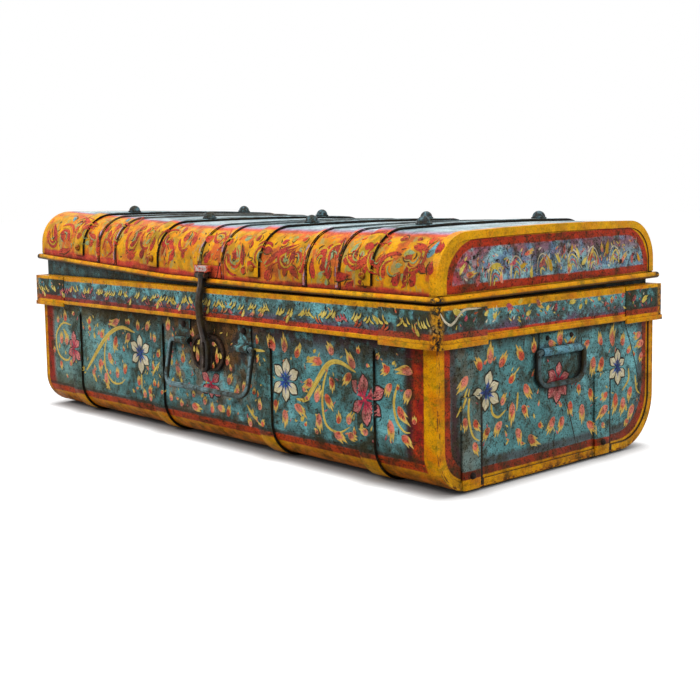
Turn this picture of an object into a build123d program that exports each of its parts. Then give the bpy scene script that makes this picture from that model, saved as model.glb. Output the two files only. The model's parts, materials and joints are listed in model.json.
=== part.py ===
"""Small painted tin trunk: body, lid, straps, hasp, three bails and two rear hinges.

Millimetres, +Z up. The origin is the centre of the base on the floor, +X runs along
the front to the right, and the front faces -Y. Every piece is written to parts/NODE.step
in the closed, hanging rest position.
"""
import math
import os
from build123d import *

os.makedirs("parts", exist_ok=True)

# ---- driving dimensions -------------------------------------------------------------
LENGTH = 760.0            # outside length over the end panels
WIDTH = 354.0             # outside width over the front and back sheets
LID_TOP = 255.0           # height of the lid's crown over the floor
SHEET = 0.8               # tin sheet of body and lid
BODY_Z = 3.0              # underside of the body: it stands on the straps
FRONT_R, REAR_R = 40.0, 58.0   # rounded bottom edges: the front one is tighter
BAND_LO, BAND_HI = 147.0, 184.0
BAND_OUT = 7.0            # how far the band stands out of the body
CAP_T = 1.2               # corner cap sheet
COLLAR_IN = 3.5           # collar's face inside the body's outer face
COLLAR_LO, COLLAR_HI = 150.0, 213.0
STRAP_T = 3.0
BODY_STRAP_W = 24.0
BODY_STRAP_X = (-290.0, -90.0, 121.0, 284.0)
BODY_STRAP_TOP = 141.0
LID_LO = 187.0            # lower edge of the lid
LID_R = 44.0              # lid's front and back shoulders
LID_SIDE = 209.0          # height where the shoulders start
LID_STRAP_W = 22.0
LID_STRAP_X = (-275.0, -96.0, 104.5, 283.0)
LID_STRAP_LO = 200.0
RIB_X = (-229.0, -187.0, 191.0, 243.0)
HASP_RIB_X = (2.0, 44.0)
HASP_RIB_LO = 213.5  # these two end above the hasp's plate
STUD_Y = (-92.0, 96.0)
BEAD_R = 3.4
SEAM_W, SEAM_T = 8.0, 1.5
WIRE_R = 3.0              # bail wire
HASP_X = 18.0
HINGE_X = (-142.0, 148.0)
HINGE_Y, HINGE_Z = 190.0, 189.0

# The lid is sprung: lift of its front and back edge at four stations along the length.
LIFT = ((-379.2, 20.0, 12.0), (-60.0, 3.0, 3.5), (150.0, -0.5, 1.7), (379.2, -1.7, 3.5))

HL, HW = LENGTH / 2, WIDTH / 2
END_X = HL - SHEET        # inner face of the end panels
PLY = 1.5                 # hinge and handle plate


def save(shape, node):
    export_step(shape, f"parts/{node}.step")


def one(shape):
    """The single solid of a shape."""
    solids = shape.solids()
    return solids[0] if len(solids) == 1 else Compound(children=list(solids))


def box(x0, x1, y0, y1, z0, z1):
    return Pos((x0 + x1) / 2, (y0 + y1) / 2, (z0 + z1) / 2) * Box(x1 - x0, y1 - y0, z1 - z0)


def yz_face(points, x=0.0):
    """Face in the plane X = x from (y, z) corners."""
    return Face(Wire.make_polygon([Vector(x, y, z) for y, z in points], close=True))


def along_x(radius, x0, x1, y, z):
    return Pos((x0 + x1) / 2, y, z) * Rot(0, 90, 0) * Cylinder(radius, x1 - x0)


def along_y(radius, y0, y1, x, z):
    return Pos(x, (y0 + y1) / 2, z) * Rot(90, 0, 0) * Cylinder(radius, y1 - y0)


# ---- body ---------------------------------------------------------------------------
def body_outline(offset, top):
    """Edges of the body's U-shaped end outline, offset outward, from front to back."""
    y = HW + offset
    low = BODY_Z - offset
    f, zf = HW - FRONT_R, BODY_Z + FRONT_R
    b, zb = HW - REAR_R, BODY_Z + REAR_R
    sf = (FRONT_R + offset) * math.sqrt(0.5)
    sb = (REAR_R + offset) * math.sqrt(0.5)
    return [
        Edge.make_line((0, -y, top), (0, -y, zf)),
        Edge.make_three_point_arc((0, -y, zf), (0, -f - sf, zf - sf), (0, -f, low)),
        Edge.make_line((0, -f, low), (0, b, low)),
        Edge.make_three_point_arc((0, b, low), (0, b + sb, zb - sb), (0, y, zb)),
        Edge.make_line((0, y, zb), (0, y, top)),
    ]


def ends_of(edges):
    return edges[0].position_at(0), edges[-1].position_at(1)


def ring_face(outer, inner):
    """Open U-shaped strip between two outlines."""
    a0, a1 = ends_of(outer)
    b0, b1 = ends_of(inner)
    edges = outer + inner + [Edge.make_line(a0, b0), Edge.make_line(a1, b1)]
    return Face(Wire.combine(edges)[0])


def filled_face(outer):
    a0, a1 = ends_of(outer)
    return Face(Wire.combine(outer + [Edge.make_line(a0, a1)])[0])


def slab(face, x0, x1):
    """Face in the plane X = 0 given thickness from x0 to x1."""
    return Pos(x0, 0, 0) * extrude(face, amount=x1 - x0, dir=(1, 0, 0))


WALL_TOP = BAND_HI + 0.2
body_wrap = slab(ring_face(body_outline(0, WALL_TOP), body_outline(-SHEET, WALL_TOP)), -END_X, END_X)
save(one(body_wrap), "body_wrap")

CLEAT_W, CLEAT_T, CLEAT_HI = 26.0, 2.4, 94.0
CLEAT_Y = (-132.0, 80.0)


def cleat_blank(sign, y, grow=0.0):
    """Flat cleat on the end face whose foot follows the rounded bottom of the end."""
    w = CLEAT_W / 2 + grow
    x0 = sign * HL
    x1 = sign * (HL + CLEAT_T)
    lo, hi = min(x0, x1), max(x0, x1)
    outline = filled_face(body_outline(0, CLEAT_HI))
    return slab(outline, lo, hi) & box(lo - 1, hi + 1, y - w, y + w, -1, CLEAT_HI)


for side, sign in (("left", -1), ("right", 1)):
    plate = slab(filled_face(body_outline(0, WALL_TOP)), -SHEET / 2, SHEET / 2)
    plate = Pos(sign * (HL - SHEET / 2), 0, 0) * plate
    seam = slab(ring_face(body_outline(0, BAND_LO), body_outline(-SEAM_W, BAND_LO)), -SEAM_T / 2, SEAM_T / 2)
    seam = Pos(sign * (HL + SEAM_T / 2), 0, 0) * seam
    panel = plate + seam
    for y in CLEAT_Y:
        panel -= cleat_blank(sign, y)
    save(one(panel), f"end_panel_{side}")
    for place, y in zip(("front", "rear"), CLEAT_Y):
        cleat = cleat_blank(sign, y)
        x0, x1 = sorted((sign * (HL + CLEAT_T), sign * (HL + CLEAT_T + 1.0)))
        clip = box(x0, x1, y - CLEAT_W / 2 + 1, y + CLEAT_W / 2 - 1, 9, 26)
        save(one(cleat + clip), f"cleat_{side}_{place}")


def tube_plan(u, z0, z1):
    """Rectangular block whose sides stand u outside the body's faces."""
    return box(-HL - u, HL + u, -HW - u, HW + u, z0, z1)


collar = tube_plan(-COLLAR_IN, COLLAR_LO, COLLAR_HI)
collar = fillet(collar.edges().filter_by(Axis.Z), 5)
hole = tube_plan(-COLLAR_IN - SHEET, COLLAR_LO - 1, COLLAR_HI + 1)
hole = fillet(hole.edges().filter_by(Axis.Z), 5 - SHEET)
save(one(collar - hole), "collar")


def plan_wire(u, z):
    x, y = HL + u, HW + u
    return Wire.make_polygon([(-x, -y, z), (x, -y, z), (x, y, z), (-x, y, z)], close=True)


def frustum(u0, z0, u1, z1):
    return Solid.make_loft([plan_wire(u0, z0), plan_wire(u1, z1)], ruled=True)


def band_ring():
    """Closed sheet channel round the body: face, sloping shoulder, lower return and lip."""
    core = tube_plan(BAND_OUT, BAND_LO, BAND_HI)
    core += frustum(BAND_OUT, BAND_HI, -COLLAR_IN, BAND_HI + 1)
    lip = tube_plan(BAND_OUT + 1.2, BAND_LO, BAND_LO + 5)
    lip = chamfer(lip.edges().filter_by(Axis.Z, reverse=True), 0.9)
    core += lip
    hollow = tube_plan(BAND_OUT - SHEET, BAND_LO + SHEET, BAND_HI - SHEET)
    hollow += frustum(BAND_OUT - SHEET, BAND_HI - SHEET, -COLLAR_IN, BAND_HI + 1 - SHEET)
    core -= hollow
    core -= tube_plan(0, BAND_LO - 1, WALL_TOP)
    core -= tube_plan(-COLLAR_IN, BAND_LO - 1, BAND_HI + 5)
    return core


CAP_FRONT, CAP_END = 70.0, 62.0
CAP_LO = 143.5
LIP_OUT = BAND_OUT + CAP_T


def cap_prism(sx, sy, u0, u1, z0, z1, trim=0.0):
    """L-shaped corner prism between two outlines at one corner of the trunk."""
    shell = tube_plan(u1, z0, z1)
    shell = fillet(shell.edges().filter_by(Axis.Z), 3.0)
    inner = tube_plan(u0, z0 - 1, z1 + 1)
    shell -= inner
    x0, x1 = sorted((sx * (HL - CAP_FRONT + trim), sx * (HL + 20)))
    y0, y1 = sorted((sy * (HW - CAP_END + trim), sy * (HW + 20)))
    return shell & box(x0, x1, y0, y1, z0 - 1, z1 + 1)


band = band_ring()
CORNERS = (("front_left", -1, -1), ("front_right", 1, -1), ("back_left", -1, 1), ("back_right", 1, 1))
for name, sx, sy in CORNERS:
    cap = cap_prism(sx, sy, BAND_OUT, BAND_OUT + CAP_T, CAP_LO, BAND_HI)
    rim = cap_prism(sx, sy, BAND_OUT + CAP_T, BAND_OUT + CAP_T + 1.0, CAP_LO, CAP_LO + 5)
    save(one(cap + rim), f"corner_cap_{name}")
    x0, x1 = sorted((sx * (HL - CAP_FRONT), sx * (HL + 20)))
    y0, y1 = sorted((sy * (HW - CAP_END), sy * (HW + 20)))
    band -= box(x0, x1, y0, y1, BAND_LO - 1, BAND_LO + 6) - tube_plan(BAND_OUT, BAND_LO - 2, BAND_LO + 7)

BIG = 500.0


def mitre(name):
    """Wedge of the plan that belongs to one side of the band."""
    d = HL - HW
    if name == "front":
        pts = [(-HL - 100, -HW - 100), (HL + 100, -HW - 100), (d, 0), (-d, 0)]
    elif name == "back":
        pts = [(-HL - 100, HW + 100), (HL + 100, HW + 100), (d, 0), (-d, 0)]
    elif name == "left":
        pts = [(-HL - 100, -HW - 100), (-HL - 100, HW + 100), (-d, 0)]
    else:
        pts = [(HL + 100, -HW - 100), (HL + 100, HW + 100), (d, 0)]
    wire = Wire.make_polygon([(x, y, BAND_LO - 5) for x, y in pts], close=True)
    return extrude(Face(wire), amount=60, dir=(0, 0, 1))


for name in ("front", "back", "left", "right"):
    save(one(band & mitre(name)), f"band_{name}")

for number, x in enumerate(BODY_STRAP_X, 1):
    face = ring_face(body_outline(STRAP_T, BODY_STRAP_TOP), body_outline(0, BODY_STRAP_TOP))
    strap = slab(face, x - BODY_STRAP_W / 2, x + BODY_STRAP_W / 2)
    ends = strap.edges().filter_by(Axis.Y).group_by(Axis.Z)[-1]
    strap = fillet(ends, 7.0)
    save(one(strap), f"body_strap_{number}")

# ---- front handle -------------------------------------------------------------------
PIVOT_Z = 120.0
KNUCKLE_R, KNUCKLE_BORE = 4.4, 3.08
FRONT_PLATES = (("left", -44.0, -20.0), ("right", 74.0, 98.0))
PIVOT_Y = -(HW + KNUCKLE_R)
for name, x0, x1 in FRONT_PLATES:
    plate = box(x0, x1, -HW - PLY, -HW, PIVOT_Z + 1.5, BAND_LO)
    plate += along_x(KNUCKLE_R, x0, x1, PIVOT_Y, PIVOT_Z)
    plate -= along_x(KNUCKLE_BORE, x0 - 1, x1 + 1, PIVOT_Y, PIVOT_Z)
    save(one(plate), f"front_handle_plate_{name}")


def wire_bail(points, radii):
    """Round wire bent along a polyline with the given corner radii."""
    path = FilletPolyline(*points, radius=radii) if not isinstance(radii, tuple) else None
    if path is None:
        edges = []
        start = Vector(*points[0])
        for k in range(1, len(points) - 1):
            p, q, r = (Vector(*points[i]) for i in (k - 1, k, k + 1))
            d0 = (p - q).normalized()
            d1 = (r - q).normalized()
            rad = radii[k - 1]
            half = math.acos(max(-1, min(1, d0.dot(d1)))) / 2
            cut = rad / math.tan(half)
            a, b = q + d0 * cut, q + d1 * cut
            mid_dir = (d0 + d1).normalized()
            mid = q + mid_dir * (rad / math.sin(half) - rad)
            edges.append(Edge.make_line(start, a))
            edges.append(Edge.make_three_point_arc(a, mid, b))
            start = b
        edges.append(Edge.make_line(start, Vector(*points[-1])))
        path = Wire(edges)
    end = path.position_at(0)
    section = Plane(origin=end, z_dir=path.tangent_at(0)) * Circle(WIRE_R)
    return sweep(section, path=path)


BAIL_L, BAIL_R, BAIL_Z = -56.0, 104.5, 67.0
BAIL_LEAN = 10.4          # it hangs a little out from the front
front_points = [
    (FRONT_PLATES[0][2] + 1, PIVOT_Y, PIVOT_Z),
    (BAIL_L, PIVOT_Y, PIVOT_Z),
    (BAIL_L, PIVOT_Y, BAIL_Z),
    (BAIL_R, PIVOT_Y, BAIL_Z),
    (BAIL_R, PIVOT_Y, PIVOT_Z),
    (FRONT_PLATES[1][1] - 1, PIVOT_Y, PIVOT_Z),
]
front_bail = wire_bail(front_points, (6.0, 13.0, 14.0, 5.5))
pivot = Axis((0, PIVOT_Y, PIVOT_Z), (1, 0, 0))
front_bail = front_bail.rotate(pivot, -BAIL_LEAN)
save(one(front_bail), "front_bail")

# ---- end handles --------------------------------------------------------------------
END_PIVOT_Z, END_BAIL_Z = 126.0, 91.0
END_Y, END_PLATE_HALF, END_BAIL_HALF = 5.0, 32.0, 38.5
for side, sign in (("left", -1), ("right", 1)):
    px = sign * (HL + KNUCKLE_R)
    y0, y1 = END_Y - END_PLATE_HALF, END_Y + END_PLATE_HALF
    x0, x1 = sorted((sign * HL, sign * (HL + PLY)))
    plate = box(x0, x1, y0, y1, END_PIVOT_Z + 1.5, BAND_LO)
    plate += along_y(KNUCKLE_R, y0, y1, px, END_PIVOT_Z)
    plate -= along_y(KNUCKLE_BORE, y0 - 1, y1 + 1, px, END_PIVOT_Z)
    save(one(plate), f"{side}_handle_plate")
    b0, b1 = END_Y - END_BAIL_HALF, END_Y + END_BAIL_HALF
    pts = [
        (px, y0 + 9, END_PIVOT_Z),
        (px, b0, END_PIVOT_Z),
        (px, b0, END_BAIL_Z),
        (px, b1, END_BAIL_Z),
        (px, b1, END_PIVOT_Z),
        (px, y1 - 9, END_PIVOT_Z),
    ]
    save(one(wire_bail(pts, (5.5, 15.0, 15.0, 5.5))), f"{side}_bail")

# ---- lock plate ---------------------------------------------------------------------
LOCK_X, LOCK_Z, LOCK_W, LOCK_H = 16.0, 109.0, 64.0, 42.0


def oval(w, h, y0, y1):
    face = Plane.XZ * SlotOverall(w, h)
    return Pos(LOCK_X, y1, LOCK_Z) * extrude(face, amount=y1 - y0)


lock_plate = oval(LOCK_W, LOCK_H, -HW - 1.2, -HW)
lock_plate += oval(LOCK_W, LOCK_H, -HW - 3.6, -HW - 1.2) - oval(LOCK_W - 8, LOCK_H - 8, -HW - 4, -HW - 1.2)
save(one(lock_plate), "lock_plate")

# ---- lid ----------------------------------------------------------------------------
SHOULDER_Y = HW - LID_R
RISE = LID_TOP - LID_SIDE - LID_R
CROWN_R = (SHOULDER_Y ** 2 + RISE ** 2) / (2 * RISE) + LID_R
TILT = math.asin(SHOULDER_Y / (CROWN_R - LID_R))
CROWN_STEPS = 4
STATION_GAP = 46.0


def lift_at(x):
    """Front and back lift of the sprung lid at a station."""
    for (xa, fa, ba), (xb, fb, bb) in zip(LIFT, LIFT[1:]):
        if x <= xb + 1e-6:
            t = (x - xa) / (xb - xa)
            return fa + t * (fb - fa), ba + t * (bb - ba)
    return LIFT[-1][1:]


def at_station(x):
    """Placement of a lid cross section drawn in the plane X = 0."""
    front, back = lift_at(x)
    angle = math.degrees(math.atan((back - front) / WIDTH))
    return Pos(x, 0, LID_LO + (front + back) / 2) * Rot(angle, 0, 0) * Pos(0, 0, -LID_LO)


def crown_points(offset):
    """Points along the low crown of the lid's top, offset outward, from front to back."""
    radius = CROWN_R + offset
    y_end = radius * math.sin(TILT)
    points = []
    for k in range(CROWN_STEPS + 1):
        y = y_end * (2 * k / CROWN_STEPS - 1)
        points.append((0, y, LID_TOP - CROWN_R + math.sqrt(radius ** 2 - y * y)))
    return points


def lid_outline(offset, low):
    """Edges of the lid's end outline, offset outward, from front to back."""
    r = LID_R + offset
    y = HW + offset
    half = (math.pi * 1.5 + TILT) / 2
    mid = (-SHOULDER_Y + r * math.cos(half), LID_SIDE + r * math.sin(half))
    crown = crown_points(offset)
    top = [Edge.make_line(a, b) for a, b in zip(crown, crown[1:])]
    return [
        Edge.make_line((0, -y, low), (0, -y, LID_SIDE)),
        Edge.make_three_point_arc((0, -y, LID_SIDE), (0, mid[0], mid[1]), crown[0]),
        *top,
        Edge.make_three_point_arc(crown[-1], (0, -mid[0], mid[1]), (0, y, LID_SIDE)),
        Edge.make_line((0, y, LID_SIDE), (0, y, low)),
    ]


def lid_strip(x_list, low, inner, outer):
    """Sheet that follows the lid between stations, from offset inner to outer."""
    face = ring_face(lid_outline(outer, low), lid_outline(inner, low))
    parts = []
    for xa, xb in zip(x_list, x_list[1:]):
        wires = [(at_station(x) * face).outer_wire() for x in (xa, xb)]
        parts.append(Solid.make_loft(wires, ruled=True))
    out = parts[0]
    for part in parts[1:]:
        out = out + part
    return out


LIFT_X = [s[0] for s in LIFT]
STATIONS = LIFT_X[:1]
for before, after in zip(LIFT, LIFT[1:]):
    count = math.ceil((after[0] - before[0]) / STATION_GAP)
    for k in range(1, count + 1):
        STATIONS.append(before[0] + (after[0] - before[0]) * k / count)
lid_wrap = lid_strip(STATIONS, LID_LO, -SHEET, 0)
for x in RIB_X + HASP_RIB_X:
    rib = lid_strip([x - 3.6, x + 3.6], LID_LO + 8, -0.3, 1.0)
    ridge = lid_strip([x - 2.0, x + 2.0], LID_LO + 9, 0.6, 2.0)
    if x in HASP_RIB_X:
        rib -= box(x - 9, x + 9, -HW - 9, 0, 0, HASP_RIB_LO)
        ridge -= box(x - 9, x + 9, -HW - 9, 0, 0, HASP_RIB_LO + 1)
    lid_wrap = lid_wrap + rib + ridge
save(one(lid_wrap), "lid_wrap")

for side, sign in (("left", -1), ("right", 1)):
    x0, x1 = sorted((sign * END_X, sign * HL))
    place = at_station(sign * END_X) * Pos(-sign * END_X, 0, 0)
    plate = slab(filled_face(lid_outline(0, LID_LO)), x0, x1)
    x0, x1 = sorted((sign * HL, sign * (HL + SEAM_T)))
    seam = slab(ring_face(lid_outline(0, LID_LO + 8), lid_outline(-SEAM_W, LID_LO + 8)), x0, x1)
    save(one(place * (plate + seam)), f"lid_end_{side}")


def bead_point(x, y_sign):
    return at_station(x) * Pos(0, y_sign * (HW + BEAD_R + 0.02), LID_LO + BEAD_R)


bead = None
for y_sign in (-1, 1):
    for xa, xb in zip(LIFT_X, LIFT_X[1:]):
        ends = [xa, xb]
        if xa == LIFT_X[0]:
            ends[0] = xa - 0.8 - BEAD_R
        if xb == LIFT_X[-1]:
            ends[1] = xb + 0.8 + BEAD_R
        wires = []
        for x, x_out in zip((xa, xb), ends):
            spot = bead_point(x, y_sign)
            ring = Pos(x_out - x, 0, 0) * spot * (Plane.YZ * Circle(BEAD_R))
            wires.append(ring.face().outer_wire())
        rod = Solid.make_loft(wires, ruled=True)
        bead = rod if bead is None else bead + rod
for sign in (-1, 1):
    x = sign * END_X
    place = at_station(x)
    rod = Pos(sign * (0.82 + BEAD_R), 0, 0) * place * along_y(BEAD_R, -HW - BEAD_R, HW + BEAD_R, 0, LID_LO + BEAD_R)
    bead = bead + rod
    for y_sign in (-1, 1):
        ball = Pos(sign * (0.8 + BEAD_R), 0, 0) * bead_point(x, y_sign) * Sphere(BEAD_R + 0.05)
        bead = bead + ball
save(one(bead), "rim_bead")

strap_rivets = []
studs = []
for number, x in enumerate(LID_STRAP_X, 1):
    w = LID_STRAP_W / 2
    strap = lid_strip([x - w, x + w], LID_STRAP_LO, 0.02, STRAP_T)
    save(one(strap), f"lid_strap_{number}")
    place = at_station(x)
    after, before = lift_at(x + 5), lift_at(x - 5)
    for y in STUD_Y:
        share = (y + HW) / WIDTH
        rise = (after[0] - before[0]) * (1 - share) + (after[1] - before[1]) * share
        slope = math.degrees(math.atan(rise / 10))
        z = LID_TOP + STRAP_T - y * y / (2 * CROWN_R)
        flange = Pos(0, 0, 0.8) * Cylinder(8.8, 1.6)
        dome = Pos(0, 0, 1.2) * Sphere(7.6)
        dome = dome & Pos(0, 0, 7) * Box(30, 30, 11.6)
        lean = -math.degrees(y / CROWN_R)
        stud = place * Pos(0, y, z + 0.03) * Rot(lean, -slope, 0) * (flange + dome)
        studs.append(one(stud))
    for y_sign in (-1, 1):
        head = Pos(0, 0, 0) * (Sphere(4.2) & Pos(0, 0, 2.5) * Box(20, 20, 5))
        spot = Pos(0, y_sign * (HW + STRAP_T + 0.05), LID_STRAP_LO + 10) * Rot(-y_sign * 90, 0, 0)
        strap_rivets.append(one(place * spot * head))
save(Compound(children=studs), "lid_studs")
save(Compound(children=strap_rivets), "strap_rivets")

# ---- hasp ---------------------------------------------------------------------------
HASP_LIFT = lift_at(HASP_X)[0]
HASP_PIN_Y, HASP_PIN_Z = -186.6, 197.6 + HASP_LIFT
PLATE_LO, PLATE_HI = 194.2 + HASP_LIFT, 208.5 + HASP_LIFT
lug = 10.0
hasp_plate = box(HASP_X - 26, HASP_X + 26, -HW - 1.5, -HW - 0.1, PLATE_LO, PLATE_HI)
hasp_plate += box(HASP_X - lug, HASP_X + lug, -HW - 11.5, -HW - 1.4, HASP_PIN_Z + 4.2, PLATE_HI)
for s in (-1, 1):
    x0, x1 = sorted((HASP_X + s * lug, HASP_X + s * (lug - 2.2)))
    ear = box(x0, x1, -HW - 11.5, HASP_PIN_Y + 1.6, HASP_PIN_Z - 0.5, HASP_PIN_Z + 4.4)
    ear += along_x(3.4, x0, x1, HASP_PIN_Y, HASP_PIN_Z)
    hasp_plate += ear
hasp_plate -= along_x(2.0, HASP_X - 20, HASP_X + 20, HASP_PIN_Y, HASP_PIN_Z)
save(one(hasp_plate), "hasp_plate")
save(one(along_x(2.0, HASP_X - lug - 1, HASP_X + lug + 1, HASP_PIN_Y, HASP_PIN_Z)), "hasp_pin")

BAR_T, BAR_W, EYE_W, HASP_LO, EYE_TOP = 4.0, 9.0, 15.0, 87.0, 127.0


def hasp_side():
    """Side view of the bar: off the knuckle, over the band, back to the lock plate."""
    centre = [
        (HASP_PIN_Y, HASP_PIN_Z),
        (HASP_PIN_Y - 0.4, 188.0),
        (-189.6, 178.0),
        (-190.2, 150.0),
        (-188.4, 140.0),
        (-185.4, 128.0),
        (-184.2, 118.0),
        (-184.2, 96.0),
        (-185.6, HASP_LO - 1),
    ]
    mid = Spline(*[(0, y, z) for y, z in centre])
    near, far = [], []
    count = 28
    for k in range(count + 1):
        p = mid.position_at(k / count)
        t = mid.tangent_at(k / count)
        n = Vector(0, -t.Z, t.Y)
        near.append((p.Y + n.Y * BAR_T / 2, p.Z + n.Z * BAR_T / 2))
        far.append((p.Y - n.Y * BAR_T / 2, p.Z - n.Z * BAR_T / 2))
    a = Spline(*[(0, y, z) for y, z in near])
    b = Spline(*[(0, y, z) for y, z in far])
    caps = [Edge.make_line(a.position_at(0), b.position_at(0)), Edge.make_line(a.position_at(1), b.position_at(1))]
    return Face(Wire.combine([a.edge(), b.edge()] + caps)[0])


bar = Pos(HASP_X - EYE_W / 2, 0, 0) * extrude(hasp_side(), amount=EYE_W, dir=(1, 0, 0))
shape = box(HASP_X - BAR_W / 2, HASP_X + BAR_W / 2, -200, -170, HASP_LO + 8, HASP_PIN_Z + 1)
eye_height = EYE_TOP - HASP_LO
eye = Plane.XZ * SlotOverall(eye_height, EYE_W, rotation=90)
eye = Pos(HASP_X, -170, (EYE_TOP + HASP_LO) / 2) * extrude(eye, amount=30)
slot = Plane.XZ * SlotOverall(eye_height - 9, 5.4, rotation=90)
slot = Pos(HASP_X, -170, (EYE_TOP + HASP_LO) / 2) * extrude(slot, amount=30)
hasp = bar & (shape + eye)
hasp -= slot
hasp += along_x(3.6, HASP_X - lug + 2.5, HASP_X + lug - 2.5, HASP_PIN_Y, HASP_PIN_Z)
hasp -= along_x(2.06, HASP_X - 20, HASP_X + 20, HASP_PIN_Y, HASP_PIN_Z)
save(one(hasp), "hasp")

# ---- rear hinges --------------------------------------------------------------------
HINGE_W, MID_W, TUBE_R, PIN_R = 40.0, 13.0, 4.0, 2.4
BACK = HW + BAND_OUT
for side, x in zip(("left", "right"), HINGE_X):
    x0, x1 = x - HINGE_W / 2, x + HINGE_W / 2
    lower = box(x0, x1, BACK, BACK + PLY, 154, HINGE_Z - 3)
    for a, b in ((x0, x - MID_W / 2 - 0.4), (x + MID_W / 2 + 0.4, x1)):
        lower += box(a, b, BACK, BACK + 2.6, HINGE_Z - 5, HINGE_Z)
        lower += along_x(TUBE_R, a, b, HINGE_Y, HINGE_Z)
    lower -= box(x - MID_W / 2 - 0.4, x + MID_W / 2 + 0.4, BACK - 1, HINGE_Y + 8, HINGE_Z - 5.4, HINGE_Z + 8)
    lower -= along_x(PIN_R, x0 - 1, x1 + 1, HINGE_Y, HINGE_Z)
    save(one(lower), f"hinge_lower_{side}")
    save(one(along_x(PIN_R, x0 - 1.2, x1 + 1.2, HINGE_Y, HINGE_Z)), f"hinge_pin_{side}")
    lift = max(lift_at(x0)[1], lift_at(x1)[1])
    shelf = LID_LO + 2 * BEAD_R + lift + 0.8
    wall = HW + 0.45
    crank = [
        (HINGE_Y - 1.2, HINGE_Z + 2),
        (HINGE_Y - 1.2, shelf),
        (wall, shelf),
        (wall, shelf + 26),
        (wall + PLY, shelf + 26),
        (wall + PLY, shelf + PLY),
        (HINGE_Y + 0.6, shelf + PLY),
        (HINGE_Y + 0.6, HINGE_Z + 2),
    ]
    leaf = slab(yz_face(crank), x0, x1)
    leaf -= box(x0 - 1, x - MID_W / 2, HINGE_Y - 8, HINGE_Y + 8, HINGE_Z - 8, HINGE_Z + TUBE_R + 0.6)
    leaf -= box(x + MID_W / 2, x1 + 1, HINGE_Y - 8, HINGE_Y + 8, HINGE_Z - 8, HINGE_Z + TUBE_R + 0.6)
    leaf += along_x(TUBE_R, x - MID_W / 2, x + MID_W / 2, HINGE_Y, HINGE_Z)
    leaf -= along_x(PIN_R + 0.06, x0 - 1, x1 + 1, HINGE_Y, HINGE_Z)
    save(one(leaf), f"hinge_upper_{side}")

# ---- rivets that hold the handle plates, cleats and hasp plate ----------------------
def head(radius):
    return Sphere(radius) & Pos(0, 0, radius / 2) * Box(3 * radius, 3 * radius, radius)


rivets = []
for name, x0, x1 in FRONT_PLATES:
    rivets.append(one(Pos((x0 + x1) / 2, -HW - PLY, 139) * Rot(90, 0, 0) * head(3.8)))
for sign in (-1, 1):
    for y in (END_Y - 20, END_Y + 20):
        rivets.append(one(Pos(sign * (HL + PLY), y, 139.5) * Rot(0, sign * 90, 0) * head(2.6)))
    for y in CLEAT_Y:
        rivets.append(one(Pos(sign * (HL + CLEAT_T + 1.0), y, 17) * Rot(0, sign * 90, 0) * head(3.4)))
save(Compound(children=rivets), "body_rivets")
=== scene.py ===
import itertools
import json
import math
import random
import bpy
from mathutils import Matrix, Vector

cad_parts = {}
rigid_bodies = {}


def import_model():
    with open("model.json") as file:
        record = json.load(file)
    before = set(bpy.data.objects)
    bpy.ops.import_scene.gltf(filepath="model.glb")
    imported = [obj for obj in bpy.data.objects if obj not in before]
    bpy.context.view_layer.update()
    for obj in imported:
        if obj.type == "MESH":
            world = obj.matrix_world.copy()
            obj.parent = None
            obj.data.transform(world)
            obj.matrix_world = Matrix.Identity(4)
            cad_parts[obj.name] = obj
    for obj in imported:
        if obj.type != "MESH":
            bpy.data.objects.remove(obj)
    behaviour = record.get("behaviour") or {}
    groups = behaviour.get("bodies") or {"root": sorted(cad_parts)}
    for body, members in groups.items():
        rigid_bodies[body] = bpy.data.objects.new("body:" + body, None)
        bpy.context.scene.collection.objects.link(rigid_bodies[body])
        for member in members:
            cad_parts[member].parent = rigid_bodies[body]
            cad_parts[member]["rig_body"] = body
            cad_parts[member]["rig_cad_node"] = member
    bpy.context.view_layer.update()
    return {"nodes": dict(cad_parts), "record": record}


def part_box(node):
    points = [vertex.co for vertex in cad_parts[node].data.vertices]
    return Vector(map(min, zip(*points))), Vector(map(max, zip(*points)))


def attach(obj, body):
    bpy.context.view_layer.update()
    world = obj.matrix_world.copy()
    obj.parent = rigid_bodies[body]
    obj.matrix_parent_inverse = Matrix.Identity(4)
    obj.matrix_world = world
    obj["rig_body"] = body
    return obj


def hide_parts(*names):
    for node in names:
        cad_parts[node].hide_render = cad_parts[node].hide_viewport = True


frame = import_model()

MM = 0.001
random.seed(7)

# ---- the trunk's own sizes in mm, from the frame where it has them -------------------------


def lo(node):
    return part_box(node)[0] / MM


def hi(node):
    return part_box(node)[1] / MM


def numbered(stem):
    return [f"{stem}_{n}" for n in range(1, 5)]


def middles(nodes, axis):
    return [(lo(node)[axis] + hi(node)[axis]) / 2 for node in nodes]


X, Y = range(2)
SHEET, BAND_LIP = 0.8, 1.2       # an end panel's thickness, and how far the band's lip stands out
HALF_LONG = -lo("body_wrap").x + SHEET
FRONT_Y = lo("body_wrap").y
BAND_Y = lo("band_front").y + BAND_LIP
BAND_X = hi("band_right").x - BAND_LIP
LID_LO, LID_SIDE, LID_R = 187, 209, 44       # lid rim, top of its upright side, shoulder radius
SHOULDER_Y = FRONT_Y + LID_R
LID_END = 379.2
# x, then how far the sprung lid's front edge and its rear edge are lifted there
LID_LIFT = ((-LID_END, 20, 12), (-60, 3, 3.5), (150, -0.5, 1.7), (LID_END, -1.7, 3.5))
BODY_STRAP_X = middles(numbered("body_strap"), X)
LID_STRAP_X = middles(numbered("lid_strap"), X)
STRAP_PROUD = 3
RIB_X = (-229, -187, 2, 44, 191, 243)
CLEAT_Y = middles(["cleat_right_front", "cleat_right_rear"], Y)
CLEAT_TOP = hi("cleat_right_front").z

# ---- paints, 0 to 255 as the eye reads them ------------------------------------------------


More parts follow.
